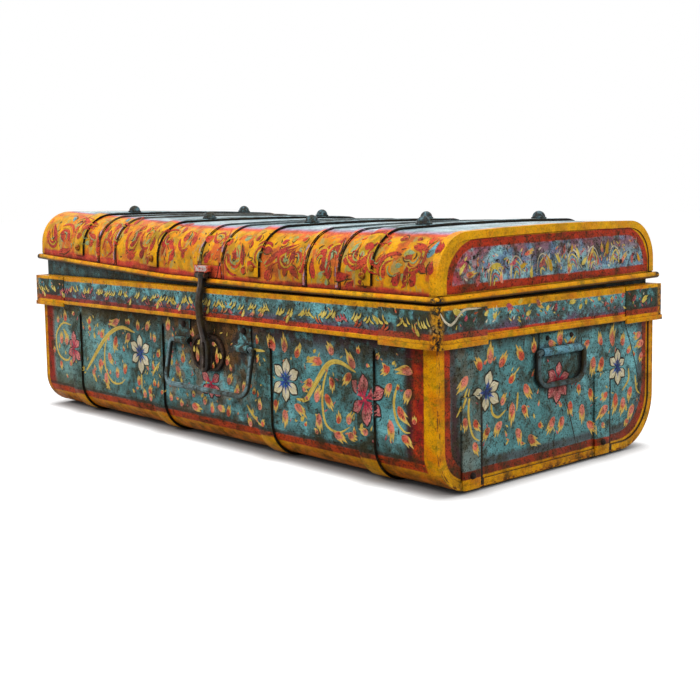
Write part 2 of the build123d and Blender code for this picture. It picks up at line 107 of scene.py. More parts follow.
def ink(r, g, b):
    """The light values of a colour written as the eye reads it."""
    parts = (part / 255 for part in (r, g, b))
    return (*(c / 12.92 if c <= 0.04045 else ((c + 0.055) / 1.055) ** 2.4 for c in parts), 1.0)


TEAL, TEAL_LIGHT, TEAL_DEEP = ink(92, 148, 150), ink(126, 194, 200), ink(50, 72, 60)
MUSTARD, AMBER, OLIVE = ink(234, 164, 8), ink(220, 130, 8), ink(150, 122, 12)
BRICK, CRIMSON, RUST_RED = ink(188, 60, 26), ink(176, 40, 34), ink(134, 46, 16)
SALMON, MAROON, LILAC = ink(222, 88, 50), ink(70, 36, 40), ink(176, 152, 178)
# the near-black below stands for soot and dirt, and also for painted shade on faces turned from the light and
# in crevices
SLATE, IRON, SOOT_AND_SHADE_BLACK, EARTH = ink(58, 88, 96), ink(52, 40, 34), ink(24, 20, 18), ink(66, 44, 32)
TIN, LIT_BARE_TIN = ink(112, 104, 92), ink(214, 196, 190)
EYE_BLUE, ROSE = ink(44, 92, 182), ink(196, 52, 78)


class Graph:
    """Short calls for one shader tree. A value is a number, a colour or a socket."""

    def __init__(self, tree):
        self.tree = tree
        tree.nodes.clear()

    def locate(self):
        """The place on the piece in mm and the way its face looks, as sockets."""
        at = self.node("ShaderNodeTexCoord").outputs
        self.facing = at["Normal"]
        self.where = self.vector("SCALE", at["Object"], scale=1000)
        self.x, self.y, self.z = self.node("ShaderNodeSeparateXYZ", {0: self.where}).outputs
        self.nx, self.ny, self.nz = self.node("ShaderNodeSeparateXYZ", {0: self.facing}).outputs
        return self

    def node(self, kind, plugs=(), **settings):
        made = self.tree.nodes.new(kind)
        for name, value in settings.items():
            setattr(made, name, value)
        for name, value in dict(plugs).items():
            self.plug(made.inputs[name], value)
        return made

    def plug(self, socket, value):
        if isinstance(value, bpy.types.NodeSocket):
            self.tree.links.new(value, socket)
        else:
            socket.default_value = value

    def math(self, operation, *values):
        return self.node("ShaderNodeMath", dict(enumerate(values)), operation=operation).outputs[0]

    def vector(self, operation, a, b=(0, 0, 0), scale=1.0):
        return self.node("ShaderNodeVectorMath", {0: a, 1: b, 3: scale}, operation=operation).outputs[0]

    def add(self, first, *others):
        for other in others:
            first = self.math("ADD", first, other)
        return first

    def times(self, first, *others):
        for other in others:
            first = self.math("MULTIPLY", first, other)
        return first

    def less(self, a, b):
        return self.math("SUBTRACT", a, b)

    def most(self, a, b):
        return self.math("MAXIMUM", a, b)

    def least(self, a, b):
        return self.math("MINIMUM", a, b)

    def size(self, a):
        return self.math("ABSOLUTE", a)

    def mean(self, a, b, part=0.5):
        """Two values mixed, the first with this part of the whole."""
        return self.add(self.times(a, part), self.times(b, 1 - part))

    def swing(self, a, by=1.0):
        """A noise value turned to swing about 0."""
        return self.times(self.add(a, -0.5), by)

    def blend(self, share, a, b):
        return self.node("ShaderNodeMix", {0: share, 6: a, 7: b}, data_type="RGBA").outputs[2]

    def coat(self, colour, paint, *masks):
        """The colour with a coat of paint where every mask lets it through."""
        return self.blend(self.times(*masks), colour, paint)

    def step(self, value, start, end):
        """0 before start, 1 after end, smooth between, and the other way round."""
        low, high = min(start, end), max(start, end)
        plugs = {0: value, 1: low, 2: high, 3: float(end < start), 4: float(end >= start)}
        return self.node("ShaderNodeMapRange", plugs, interpolation_type="SMOOTHSTEP").outputs[0]

    def ramp(self, value, start, end, first, last):
        return self.node("ShaderNodeMapRange", {0: value, 1: start, 2: end, 3: first, 4: last}).outputs[0]

    def zone(self, value, low, high, soft=0.8):
        """1 between low and high, 0 outside, with soft edges."""
        past_low = self.step(value, low - soft, low + soft)
        return self.times(past_low, self.step(value, high + soft, high - soft))

    def noise(self, grain, detail=3, rough=0.5, stretch=None, at=None):
        """Cloudy noise with features about grain mm across."""
        if at is None:
            at = self.where
        if stretch:
            at = self.vector("MULTIPLY", at, stretch)
        plugs = {"Vector": at, "Scale": 1 / grain, "Detail": detail, "Roughness": rough}
        return self.node("ShaderNodeTexNoise", plugs).outputs[0]

    def patches(self, grain, low, high, detail=3, rough=0.5, stretch=None):
        """A mask of soft patches about grain mm across."""
        return self.step(self.noise(grain, detail, rough, stretch), low, high)

    def wavy(self, value, swing=2.2):
        """A measure in mm that wanders, as a hand-drawn edge does."""
        return self.add(value, self.swing(self.noise(26), swing))

    def bowl(self, value, centre, half):
        """0 at the centre, 1 at half a width from it, and rising."""
        off = self.times(self.add(value, -centre), 1 / half)
        return self.times(off, off)

    def closeness(self, reach, samples=6):
        """1 in the open, less where something stands within reach metres."""
        return self.node("ShaderNodeAmbientOcclusion", {"Distance": reach}, samples=samples).outputs["AO"]

    def round_u(self, across, up, half, low, radius):
        """Distance outside a U with rounded lower corners; less than 0 inside."""
        aside = self.add(self.size(across), radius, -half)
        under = self.less(self.add(radius, low), up)
        a, b = self.most(aside, 0), self.most(under, 0)
        far = self.math("SQRT", self.add(self.times(a, a), self.times(b, b)))
        return self.less(self.add(far, self.least(self.most(aside, under), 0)), radius)


# ---- shader groups shared by the finishes --------------------------------------------------


def new_group(name, numbers, colours):
    tree = bpy.data.node_groups.new(name, "ShaderNodeTree")
    for kind, plugs in (("Color", colours), ("Float", numbers)):
        for label, start in plugs.items():
            socket = tree.interface.new_socket(label, in_out="INPUT", socket_type=f"NodeSocket{kind}")
            socket.default_value = start
    for label, kind in (("Color", "Color"), ("Roughness", "Float"), ("Height", "Float")):
        tree.interface.new_socket(label, in_out="OUTPUT", socket_type=f"NodeSocket{kind}")
    g = Graph(tree).locate()
    return g, g.node("NodeGroupInput").outputs, g.node("NodeGroupOutput").inputs


def make_old_enamel():
    """Brush streaks, dirt, dark speckle, chips to the metal, dents, and dirt with painted shade in the
    crevices, over any paint colour.
    """
    numbers = {"Streaks": 0.5, "Grime": 0.5, "Speckle": 0.5, "Chips": 0.5, "Dents": 0.5, "CreviceDirtAndShade": 0.8}
    g, given, out = new_group("old_enamel", numbers, {"Color": TEAL})
    broad = g.noise(95, 4, 0.55)
    middle = g.noise(17, 5, 0.62)
    small = g.noise(4.4, 6, 0.72)
    crumb = g.noise(1.35, 3, 0.65)
    grain = g.noise(0.9, 2, 0.5)
    brush = g.noise(2.4, 3, 0.62, (0.05, 0.05, 1))
    red, green, blue = g.node("ShaderNodeSeparateColor", {0: given["Color"]}).outputs
    warm = g.step(g.less(green, blue), 0.04, 0.22)
    ruddy = g.step(g.less(red, blue), 0.1, 0.35)
    clean = g.add(1, g.times(warm, -0.62))
    drag = g.times(g.add(brush, -0.5), g.add(0.8, g.times(warm, -0.6)))
    lift = g.times(g.add(drag, g.swing(small)), given["Streaks"])
    colour = g.node("ShaderNodeHueSaturation", {"Color": given["Color"], "Value": g.add(1, lift)}).outputs[0]
    dirt = g.add(g.times(middle, 0.7), g.times(broad, 0.6))
    dirt = g.times(g.step(dirt, 0.60, 0.80), given["Grime"], clean)
    colour = g.coat(colour, ink(58, 44, 22), dirt, 0.85)
    film = g.step(g.mean(small, middle, 0.6), 0.49, 0.58)
    colour = g.coat(colour, ink(56, 54, 30), film, clean, given["Grime"], 0.6)
    fleck = g.step(g.mean(crumb, small, 0.72), 0.53, 0.57)
    fleck = g.times(fleck, given["Speckle"], clean, g.step(middle, 0.26, 0.44))
    colour = g.coat(colour, ink(28, 28, 18), fleck, 0.95)
    pale = g.times(g.step(g.mean(grain, small), 0.60, 0.68), given["Speckle"])
    colour = g.coat(colour, ink(226, 224, 206), pale, g.add(0.34, g.times(ruddy, -0.3)))
    # dark packed dirt and painted shade where something stands close: in crevices and under parts
    crevice_dirt_and_shade = g.times(g.step(g.add(g.closeness(0.007), g.swing(small, 0.3)), 0.86, 0.42), given["CreviceDirtAndShade"])
    colour = g.coat(colour, ink(26, 20, 16), crevice_dirt_and_shade)
    lost = g.step(g.mean(g.noise(6, 6, 0.7), middle, 0.7), 0.635, 0.65)
    lost = g.times(lost, given["Chips"])
    colour = g.coat(colour, g.blend(small, ink(40, 30, 26), ink(92, 52, 30)), lost)
    g.plug(out["Color"], colour)
    worn = g.times(g.add(dirt, fleck, crevice_dirt_and_shade, lost), 0.25)
    g.plug(out["Roughness"], g.add(0.34, worn, g.swing(brush, 0.16)))
    dents = g.times(g.add(g.swing(broad, 0.014), g.swing(middle, 0.0016)), given["Dents"])
    height = g.add(dents, g.swing(brush, 0.00016), g.swing(grain, 0.00008), g.times(lost, -0.00018))
    g.plug(out["Height"], height)
    return g.tree


def make_old_iron():
    """Dark forged or cast metal: two tones, patches of rust, dirt and painted shade in the low places, pits
    and worn grain.
    """
    colours = {"Dark": SOOT_AND_SHADE_BLACK, "Light": IRON, "Rust": EARTH}
    g, given, out = new_group("old_iron", {"Rusting": 0.5, "CreviceDirtAndShade": 0.8}, colours)
    middle = g.noise(9, 5, 0.62)
    small = g.noise(2.2, 4, 0.6)
    grain = g.noise(0.6, 2, 0.5)
    colour = g.blend(g.step(g.mean(middle, small, 0.6), 0.4, 0.62), given["Dark"], given["Light"])
    rusted = g.times(g.step(g.mean(middle, grain), 0.5, 0.6), given["Rusting"])
    colour = g.coat(colour, given["Rust"], rusted)
    # dirt and painted shade in the low places, where something stands close
    colour = g.coat(colour, SOOT_AND_SHADE_BLACK, g.step(g.closeness(0.005), 0.8, 0.35), given["CreviceDirtAndShade"])
    g.plug(out["Color"], colour)
    g.plug(out["Roughness"], g.add(0.38, g.times(rusted, 0.3), g.times(small, 0.2)))
    height = g.add(g.swing(small, 0.0004), g.swing(grain, 0.00012), g.swing(middle, 0.0012))
    g.plug(out["Height"], height)
    return g.tree


SHINE, MATT_SHINE = 0.08, 0.025
OLD_ENAMEL = make_old_enamel()
OLD_IRON = make_old_iron()


def finish_with(name, group, plugs, colour_of=None, metallic=0.0, shine=SHINE):
    """A material whose colour comes from colour_of, aged by a shared group."""
    made = bpy.data.materials.new(name)
    made.use_nodes = True
    g = Graph(made.node_tree).locate()
    aged = g.node("ShaderNodeGroup", node_tree=group)
    for label, value in plugs.items():
        g.plug(aged.inputs[label], value)
    if colour_of:
        g.plug(aged.inputs["Color"], colour_of(g))
    bump = g.node("ShaderNodeBump", {"Height": aged.outputs["Height"], "Distance": 1, "Strength": 1})
    shader = g.node("ShaderNodeBsdfPrincipled", {
        "Metallic": metallic, "Specular IOR Level": shine, "Base Color": aged.outputs["Color"],
        "Roughness": aged.outputs["Roughness"], "Normal": bump.outputs[0]})
    g.plug(g.node("ShaderNodeOutputMaterial").inputs[0], shader.outputs[0])
    return made

# ---- paint layouts: what colour the brush left where ---------------------------------------


def sheet_side(g, centre_z, outside):
    """The outside paint, or bare spotted tin where a face looks at the trunk's middle."""
    patch = g.noise(40, 5, 0.65)
    bare = g.blend(g.step(patch, 0.42, 0.62), TIN, ink(92, 82, 70))
    bare = g.coat(bare, ink(96, 58, 34), g.step(g.mean(g.noise(5, 5, 0.7), patch, 0.6), 0.53, 0.6))
    away = g.vector("SUBTRACT", g.where, (0, 0, centre_z))
    outward = g.node("ShaderNodeVectorMath", {0: away, 1: g.facing}, operation="DOT_PRODUCT").outputs["Value"]
    return g.blend(g.step(outward, -2, 0), bare, outside)


def teal_field(g):
    teal = g.blend(g.patches(70, 0.38, 0.64), TEAL, TEAL_LIGHT)
    return g.coat(teal, TEAL_DEEP, g.patches(12, 0.46, 0.66, 4, 0.6), 0.42)


def warm_red(g):
    return g.blend(g.patches(24, 0.4, 0.6), BRICK, RUST_RED)


def warm_yellow(g):
    yellow = g.blend(g.patches(30, 0.4, 0.66, 4, 0.6), MUSTARD, AMBER)
    drawn = g.noise(9, 6, 0.7, (0.6, 0.6, 0.8))
    yellow = g.coat(yellow, OLIVE, g.step(drawn, 0.52, 0.66), 0.8)
    yellow = g.coat(yellow, ink(246, 190, 20), g.step(drawn, 0.41, 0.32), 0.6)
    return g.coat(yellow, ink(78, 48, 10), g.patches(3.2, 0.60, 0.66, 5, 0.7), 0.6)


BASE_LOW, BASE_HIGH = 22.5, 31.5     # where the yellow and the red along the foot end, in mm


def long_side(g):
    """Front and back of the body: teal field, red and yellow borders, painted shade under the band."""
    mottle = g.noise(15, 4, 0.6)
    # painted shade under the band, in maroon on the right and brown on the left
    under_band_shade = g.blend(g.step(g.x, -90, 60), ink(62, 50, 32), MAROON)
    colour = g.coat(teal_field(g), under_band_shade, g.step(g.z, 112, 141), g.step(mottle, 0.26, 0.5), 0.92)
    stain = g.add(g.bowl(g.x, 34, 74), g.bowl(g.z, 122, 36), g.swing(mottle, 2.4))
    colour = g.coat(colour, ink(60, 36, 28), g.step(stain, 1.15, 0.55), 0.92)
    bail_rub = g.times(g.zone(g.x, -84, 118, 24), g.patches(22, 0.42, 0.6, 4, 0.6))
    colour = g.coat(colour, ink(134, 92, 50), bail_rub, 0.7)
    colour = g.coat(colour, ink(50, 50, 34), g.step(g.z, 60, 34), g.step(mottle, 0.3, 0.55), 0.7)
    colour = g.coat(colour, ink(136, 116, 62), g.step(g.x, -110, -320), 0.3)
    side, up = g.wavy(g.x), g.wavy(g.z)
    right_red = g.blend(g.step(mottle, 0.4, 0.6), BRICK, ink(142, 34, 30))
    colour = g.coat(colour, MAROON, g.step(side, 332, 342))
    colour = g.coat(colour, right_red, g.step(side, 343, 352))
    colour = g.coat(colour, g.blend(mottle, CRIMSON, RUST_RED), g.step(side, -350, -362))
    colour = g.coat(colour, ink(64, 40, 24), g.zone(up, BASE_HIGH - 1, BASE_HIGH + 4, 1.5), 0.7)
    foot_red = g.blend(0.5, warm_red(g), ink(216, 78, 22))
    colour = g.coat(colour, foot_red, g.step(up, BASE_HIGH + 1, BASE_HIGH - 1.5))
    edges = g.most(g.step(side, 361.5, 363), g.step(side, -373, -374.2))
    colour = g.coat(colour, warm_yellow(g), g.most(edges, g.step(up, BASE_LOW + 1, BASE_LOW - 1)))
    orange = g.blend(g.step(mottle, 0.4, 0.6), ink(226, 124, 4), ink(170, 104, 6))
    colour = g.coat(colour, orange, g.step(g.z, 26, 14), g.step(up, BASE_LOW + 1, BASE_LOW - 2))
    return g.coat(colour, ink(96, 58, 6), g.step(g.z, 13, 2), g.step(mottle, 0.36, 0.6), 0.35)


def body_colour(g):
    return sheet_side(g, 90, long_side(g))


def end_field(g, mottle):
    """The teal of an end panel: painted shade at the top under the band, and dark round the bail and up the
    front side.
    """
    # painted shade at the top, under the band
    colour = g.coat(teal_field(g), ink(50, 54, 48), g.step(g.z, 126, 147), g.step(mottle, 0.34, 0.56), 0.75)
    worn = g.step(g.add(g.bowl(g.y, 5, 74), g.bowl(g.z, 108, 40)), 1.3, 0.3)
    colour = g.coat(colour, ink(56, 54, 42), worn, g.step(mottle, 0.42, 0.6), 0.8)
    rusty = g.step(g.add(mottle, g.times(g.step(g.z, 90, 40), 0.1)), 0.34, 0.56)
    colour = g.coat(colour, ink(112, 84, 54), g.step(g.y, -96, -134), rusty, 0.6)
    strip = g.times(g.zone(g.y, -158, -146, 3), g.step(g.z, 128, 70))
    return g.coat(colour, ink(46, 26, 26), strip, g.add(0.5, g.times(mottle, 0.7)))


def end_colour(g):
    mottle = g.noise(15, 4, 0.6)
    colour = end_field(g, mottle)
    bend = g.add(31, g.times(g.step(g.y, -60, 60), 19))
    edge = g.wavy(g.round_u(g.add(g.y, 1), g.z, 158.5, 22, bend), 3)
    colour = g.coat(colour, MAROON, g.zone(edge, -9, 1, 3), 0.7)
    red = g.coat(warm_red(g), ink(58, 42, 30), g.step(g.z, 60, 30), 0.35)
    colour = g.coat(colour, red, g.step(edge, -0.8, 0.8))
    rim = g.wavy(g.round_u(g.add(g.y, 1), g.z, 166.5, 14, bend), 3)
    colour = g.coat(colour, warm_yellow(g), g.step(rim, -0.8, 0.8))
    crease = g.zone(g.round_u(g.y, g.z, 169, 11, g.add(bend, 1)), -1.2, 0.4, 0.8)
    colour = g.coat(colour, SOOT_AND_SHADE_BLACK, crease, g.step(g.y, 60, 120), 0.75)
    # a dark line of painted shadow and dirt beside each cleat's side toward the back
    for side in CLEAT_Y:
        cleat_shadow_line = g.zone(g.wavy(g.y, 1.5), side + 12, side + 18.6, 0.7)
        colour = g.coat(colour, SOOT_AND_SHADE_BLACK, cleat_shadow_line, g.step(g.z, CLEAT_TOP + 1, CLEAT_TOP - 2))
    colour = g.coat(colour, ink(74, 50, 14), g.step(g.z, 22, 2), g.step(mottle, 0.36, 0.6), 0.6)
    return sheet_side(g, 90, colour)


def band_colour(g, dusk_from=166, low_edge=152, top_edge=178):
    mottle = g.noise(6, 5, 0.7)
    clouds = g.noise(22, 4, 0.6)
    colour = g.blend(g.step(mottle, 0.42, 0.6), TEAL_LIGHT, TEAL)
    colour = g.coat(colour, ink(52, 52, 36), g.step(clouds, 0.42, 0.62), 0.6)
    left = g.step(g.x, 20, -160)
    low = g.times(g.step(g.add(g.z, g.times(left, -5)), dusk_from, 157), g.step(mottle, 0.26, 0.52))
    dusky = g.coat(MAROON, ink(116, 84, 116), g.step(clouds, 0.42, 0.6), g.add(0.8, g.times(left, -0.5)))
    colour = g.coat(colour, dusky, low, 0.9)
    up = g.wavy(g.z, 1.6)
    red = g.blend(mottle, ink(214, 74, 44), ink(196, 58, 30))
    red = g.coat(red, ink(122, 42, 46), left, 0.7)
    colour = g.coat(colour, red, g.step(up, 157.4, 155.8))
    edges = g.most(g.step(up, top_edge, top_edge + 1.2), g.step(up, low_edge, low_edge - 0.8))
    return g.coat(colour, warm_yellow(g), edges)


def end_band_colour(g):
    return band_colour(g, 172, 154.4, 176.8)


def cap_colour(g):
    mottle = g.noise(8, 5, 0.65)
    colour = g.blend(g.step(mottle, 0.4, 0.62), TEAL_DEEP, ink(46, 52, 50))
    colour = g.coat(colour, TEAL, g.patches(15, 0.5, 0.64))
    colour = g.coat(colour, MAROON, g.step(g.z, 168, 156), g.step(mottle, 0.36, 0.6))
    up = g.wavy(g.z, 2)
    colour = g.coat(colour, g.blend(mottle, ink(190, 72, 42), RUST_RED), g.zone(up, 150, 158))
    colour = g.coat(colour, warm_yellow(g), g.most(g.step(up, 179.5, 180.7), g.step(up, 152.6, 151.6)))
    near_edge = g.times(g.step(g.size(g.x), 376, 384), g.step(g.size(g.y), 174, 181))
    colour = g.coat(colour, warm_yellow(g), near_edge, 0.75)
    return g.coat(colour, SOOT_AND_SHADE_BLACK, near_edge, g.patches(4, 0.44, 0.56, 5, 0.7))


def collar_colour(g):
    return sheet_side(g, 180, g.blend(g.patches(20, 0.4, 0.62, 4, 0.6), ink(36, 58, 58), ink(70, 108, 110)))


def body_strap_colour(g):
    colour = g.blend(0.3, long_side(g), TEAL_DEEP)
    colour = g.coat(colour, warm_yellow(g), g.step(g.z, 27, 24))
    colour = g.coat(colour, ink(48, 50, 42), g.patches(10, 0.42, 0.6, 4, 0.6), g.step(g.z, 20, 34), 0.55)
    # painted shade with dirt on the straps' side faces: full on faces turned to +x, half on faces turned to
    # -x
    left = g.times(g.step(g.nx, -0.45, -0.7), 0.5)
    return g.coat(colour, SOOT_AND_SHADE_BLACK, g.most(left, g.step(g.nx, 0.45, 0.7)))


def cleat_colour(g):
    edge = g.wavy(g.z, 2)
    red = warm_red(g)
    foot = g.blend(g.step(g.y, -60, -80), red, g.blend(0.5, red, ink(44, 26, 22)))
    colour = g.coat(end_field(g, g.noise(15, 4, 0.6)), foot, g.step(edge, 23, 21.4))
    colour = g.coat(colour, warm_yellow(g), g.step(edge, 14.6, 13.4))
    # painted shade on the cleat's side faces turned to +y
    return g.coat(colour, SOOT_AND_SHADE_BLACK, g.step(g.ny, 0.45, 0.7))


def plate_colour(g):
    at_end = g.step(g.size(g.x), 300, 340)
    blue = g.times(g.step(g.z, 138, 129), g.patches(14, 0.35, 0.6), at_end)
    colour = g.coat(teal_field(g), ink(104, 150, 184), blue, 0.6)
    return g.coat(colour, ink(58, 52, 44), g.step(g.size(g.x), 340, 300), g.patches(8, 0.34, 0.56, 4, 0.6))


def hasp_plate_colour(g):
    red = g.blend(g.patches(12, 0.4, 0.62, 4), SALMON, ink(206, 70, 54))
    # worn bare tin on the knuckle's top, pale also as a painted highlight
    red = g.coat(red, LIT_BARE_TIN, g.step(g.y, -183.5, -187), g.step(g.z, 203, 205), g.patches(4, 0.36, 0.5))
    knuckle = g.times(g.step(g.y, -182.6, -183.4), g.step(g.z, 203.4, 202.4))
    red = g.coat(red, g.blend(g.patches(3, 0.45, 0.6), SOOT_AND_SHADE_BLACK, ink(96, 44, 30)), knuckle)
    slant = g.add(g.x, g.times(g.add(g.z, -203), -0.35))
    return g.coat(red, SOOT_AND_SHADE_BLACK, g.zone(slant, 38.2, 40, 0.5))


def hasp_colour(g):
    rough = g.blend(g.patches(6, 0.4, 0.62, 4, 0.65), ink(40, 28, 24), ink(66, 50, 42))
    # a painted highlight along the middle of the bar
    painted_light_streak = g.times(g.zone(g.wavy(g.x, 1.2), 13.6, 16), g.patches(8, 0.36, 0.5))
    rough = g.coat(rough, ink(122, 108, 100), painted_light_streak, 0.7)
    # painted shade along the bar's right side
    return g.coat(rough, SOOT_AND_SHADE_BLACK, g.step(g.wavy(g.x, 1), 20, 21.6))


def lid_rise(g):
    """How far the sprung lid is lifted, from its front and back edge lines."""
    stations, fronts, rears = zip(*LID_LIFT)
    edges = []
    for heights in (fronts, rears):
        parts = [g.ramp(g.x, *stations[:2], *heights[:2])]
        for k in (1, 2):
            parts.append(g.ramp(g.x, *stations[k:k + 2], 0, heights[k + 1] - heights[k]))
        edges.append(g.add(*parts))
    front, rear = edges
    return g.add(front, g.times(g.ramp(g.y, FRONT_Y, -FRONT_Y, 0, 1), g.less(rear, front)))


def lid_layout(g, field):
    """Lid sheet and straps: red foot stripe, a field, then salmon, lilac and the blue-grey top, made pale as
    a painted sheen.
    """
    up = g.less(g.z, lid_rise(g))
    out = g.wavy(g.size(g.y), 9)
    from_top = g.less(out, g.ramp(g.x, -230, 30, 140, 153))
    mottle = g.noise(16, 4, 0.6)
    # the blue-grey top, its paint made paler as a painted sheen from above
    colour = g.blend(g.patches(60, 0.36, 0.66, 4, 0.55), ink(200, 216, 220), ink(148, 176, 184))
    colour = g.coat(colour, SLATE, g.step(mottle, 0.5, 0.68), 0.45)
    colour = g.coat(colour, LILAC, g.step(from_top, -15, -7))
    colour = g.coat(colour, SALMON, g.step(from_top, -8, -1.5))
    colour = g.coat(colour, field(g, mottle), g.step(from_top, -1.5, 3.5))
    foot = g.less(g.wavy(up, 7), g.ramp(g.x, -100, 60, 201.5, 197.5))
    red = g.blend(g.step(mottle, 0.38, 0.6), ink(226, 92, 48), ink(200, 58, 44))
    return up, g.coat(colour, red, g.step(foot, 2.5, -1.5))


def lid_field(g, mottle):
    yellow = g.blend(g.patches(34, 0.42, 0.64, 4, 0.6), MUSTARD, AMBER)
    yellow = g.coat(yellow, ink(176, 132, 22), g.step(mottle, 0.44, 0.62), 0.8)
    yellow = g.coat(yellow, ink(212, 84, 42), g.patches(13, 0.50, 0.60, 4, 0.55, (0.7, 1, 0.45)), 0.75)
    return g.coat(yellow, ink(150, 156, 96), g.patches(9, 0.56, 0.62, 4, 0.6, (1, 1, 0.4)), 0.6)


def lid_colour(g):
    up, colour = lid_layout(g, lid_field)
    side = g.wavy(g.x, 2)
    corner = g.most(g.step(side, 370.5, 372), g.step(side, -375, -376.5))
    colour = g.coat(colour, warm_yellow(g), corner)
    # painted shade on the steep sides of the ribs
    rib_side_shade = g.times(g.step(g.size(g.nx), 0.3, 0.6), g.step(g.size(g.x), 372, 366))
    on_front = g.step(g.size(g.y), 120, 140)
    colour = g.coat(colour, SOOT_AND_SHADE_BLACK, rib_side_shade, g.add(0.5, g.times(on_front, 0.35)))
    painted_light_streak = g.noise(3, 3, 0.6, (1, 0.3, 0.3))
    for rib in RIB_X:
        off = g.size(g.add(g.x, -rib))
        # painted shade at each rib's foot and a painted lilac highlight along its crest, broken into streaks
        foot = g.times(g.zone(off, 2.2, 4.6, 0.7), on_front)
        colour = g.coat(colour, ink(44, 28, 18), foot, g.step(painted_light_streak, 0.36, 0.52))
        colour = g.coat(colour, LILAC, g.step(off, 2.4, 1.6), on_front, g.step(painted_light_streak, 0.50, 0.62))
    return sheet_side(g, 195, colour)


def lid_strap_colour(g):
    def plain(g, mottle):
        return g.coat(MUSTARD, OLIVE, g.step(mottle, 0.44, 0.62), 0.8)

    up, colour = lid_layout(g, plain)
    colour = g.coat(colour, g.blend(0.4, MUSTARD, RUST_RED), g.step(up, 203, 198))
    dark = g.blend(g.patches(9, 0.42, 0.58, 4, 0.6), ink(128, 160, 168), ink(48, 66, 68))
    colour = g.coat(colour, dark, g.step(g.size(g.y), 146, 134))
    # painted shade on the straps' side faces
    return g.coat(colour, SOOT_AND_SHADE_BLACK, g.step(g.size(g.nx), 0.45, 0.7))


def lid_end_colour(g):
    top = 2 * 216
    up = g.less(g.z, lid_rise(g))
    panel = g.round_u(g.add(g.y, -2), g.less(top, up), 157, top - 237.5, 34)
    panel = g.wavy(g.most(panel, g.less(203, up)), 3)
    mottle = g.noise(13, 4, 0.6)
    wisps = g.noise(6, 4, 0.65, (1, 0.5, 1))
    colour = g.blend(g.step(mottle, 0.42, 0.62), ink(146, 194, 200), ink(110, 142, 174))
    violet = g.blend(wisps, ink(92, 52, 84), ink(186, 110, 122))
    colour = g.coat(colour, violet, g.step(up, 214, 232), g.patches(24, 0.38, 0.54), 0.85)
    colour = g.coat(colour, ink(212, 128, 116), g.step(wisps, 0.52, 0.62), g.step(mottle, 0.36, 0.56), 0.55)
    colour = g.coat(colour, ink(74, 50, 40), g.patches(6, 0.53, 0.61, 5, 0.65, (1, 1, 0.7)), 0.65)
    colour = g.coat(colour, ink(196, 60, 58), g.step(g.y, -104, -144), g.step(mottle, 0.3, 0.6), 0.8)
    colour = g.coat(colour, g.blend(mottle, BRICK, ink(178, 50, 26)), g.step(panel, -0.9, 0.9))
    colour = g.coat(colour, g.blend(0.35, warm_yellow(g), ink(248, 186, 24)), g.step(panel, 7.2, 8.8))
    return sheet_side(g, 215, colour)


def bead_colour(g):
    colour = g.coat(warm_yellow(g), ink(116, 96, 26), g.patches(18, 0.5, 0.64, 4, 0.65), 0.55)
    # painted shade on the bead's faces turned down
    colour = g.coat(colour, ink(52, 34, 16), g.step(g.nz, 0.05, -0.4), 0.85)
    corner = g.times(g.step(g.size(g.x), 372, 381), g.step(g.size(g.y), 168, 178))
    return g.coat(colour, SOOT_AND_SHADE_BLACK, corner, g.patches(5, 0.4, 0.55, 4))


def seam_colour(g):
    lost = g.patches(5, 0.47, 0.55, 5, 0.7, (1, 1, 0.4))
    return g.coat(warm_yellow(g), g.blend(g.noise(3), SOOT_AND_SHADE_BLACK, RUST_RED), lost, 0.9)


def wire_colour(g):
    at_end = g.step(g.size(g.x), 370, 374)
    # blue paint kept on the faces turned out and up, lit there as a painted highlight; dark elsewhere, and
    # less of it on the end bails
    outward = g.times(g.most(g.times(g.ny, -1), g.nz), g.less(1, at_end))
    outward = g.most(outward, g.times(g.most(g.size(g.nx), g.nz), at_end))
    light = g.times(g.step(outward, 0.5, 0.92), g.patches(9, 0.34, 0.52, 4, 0.65))
    light = g.times(light, g.add(1, g.times(at_end, -0.6)))
    return g.blend(light, ink(32, 32, 30), ink(116, 146, 152))


def two_tones(first, second, grain, low, high, detail=4):
    """A finish of soft patches of two colours."""
    return lambda g: g.blend(g.patches(grain, low, high, detail, 0.6), first, second)


def ageing(*amounts):
    return dict(zip(("Streaks", "Grime", "Speckle", "Chips", "Dents", "CreviceDirtAndShade"), amounts))


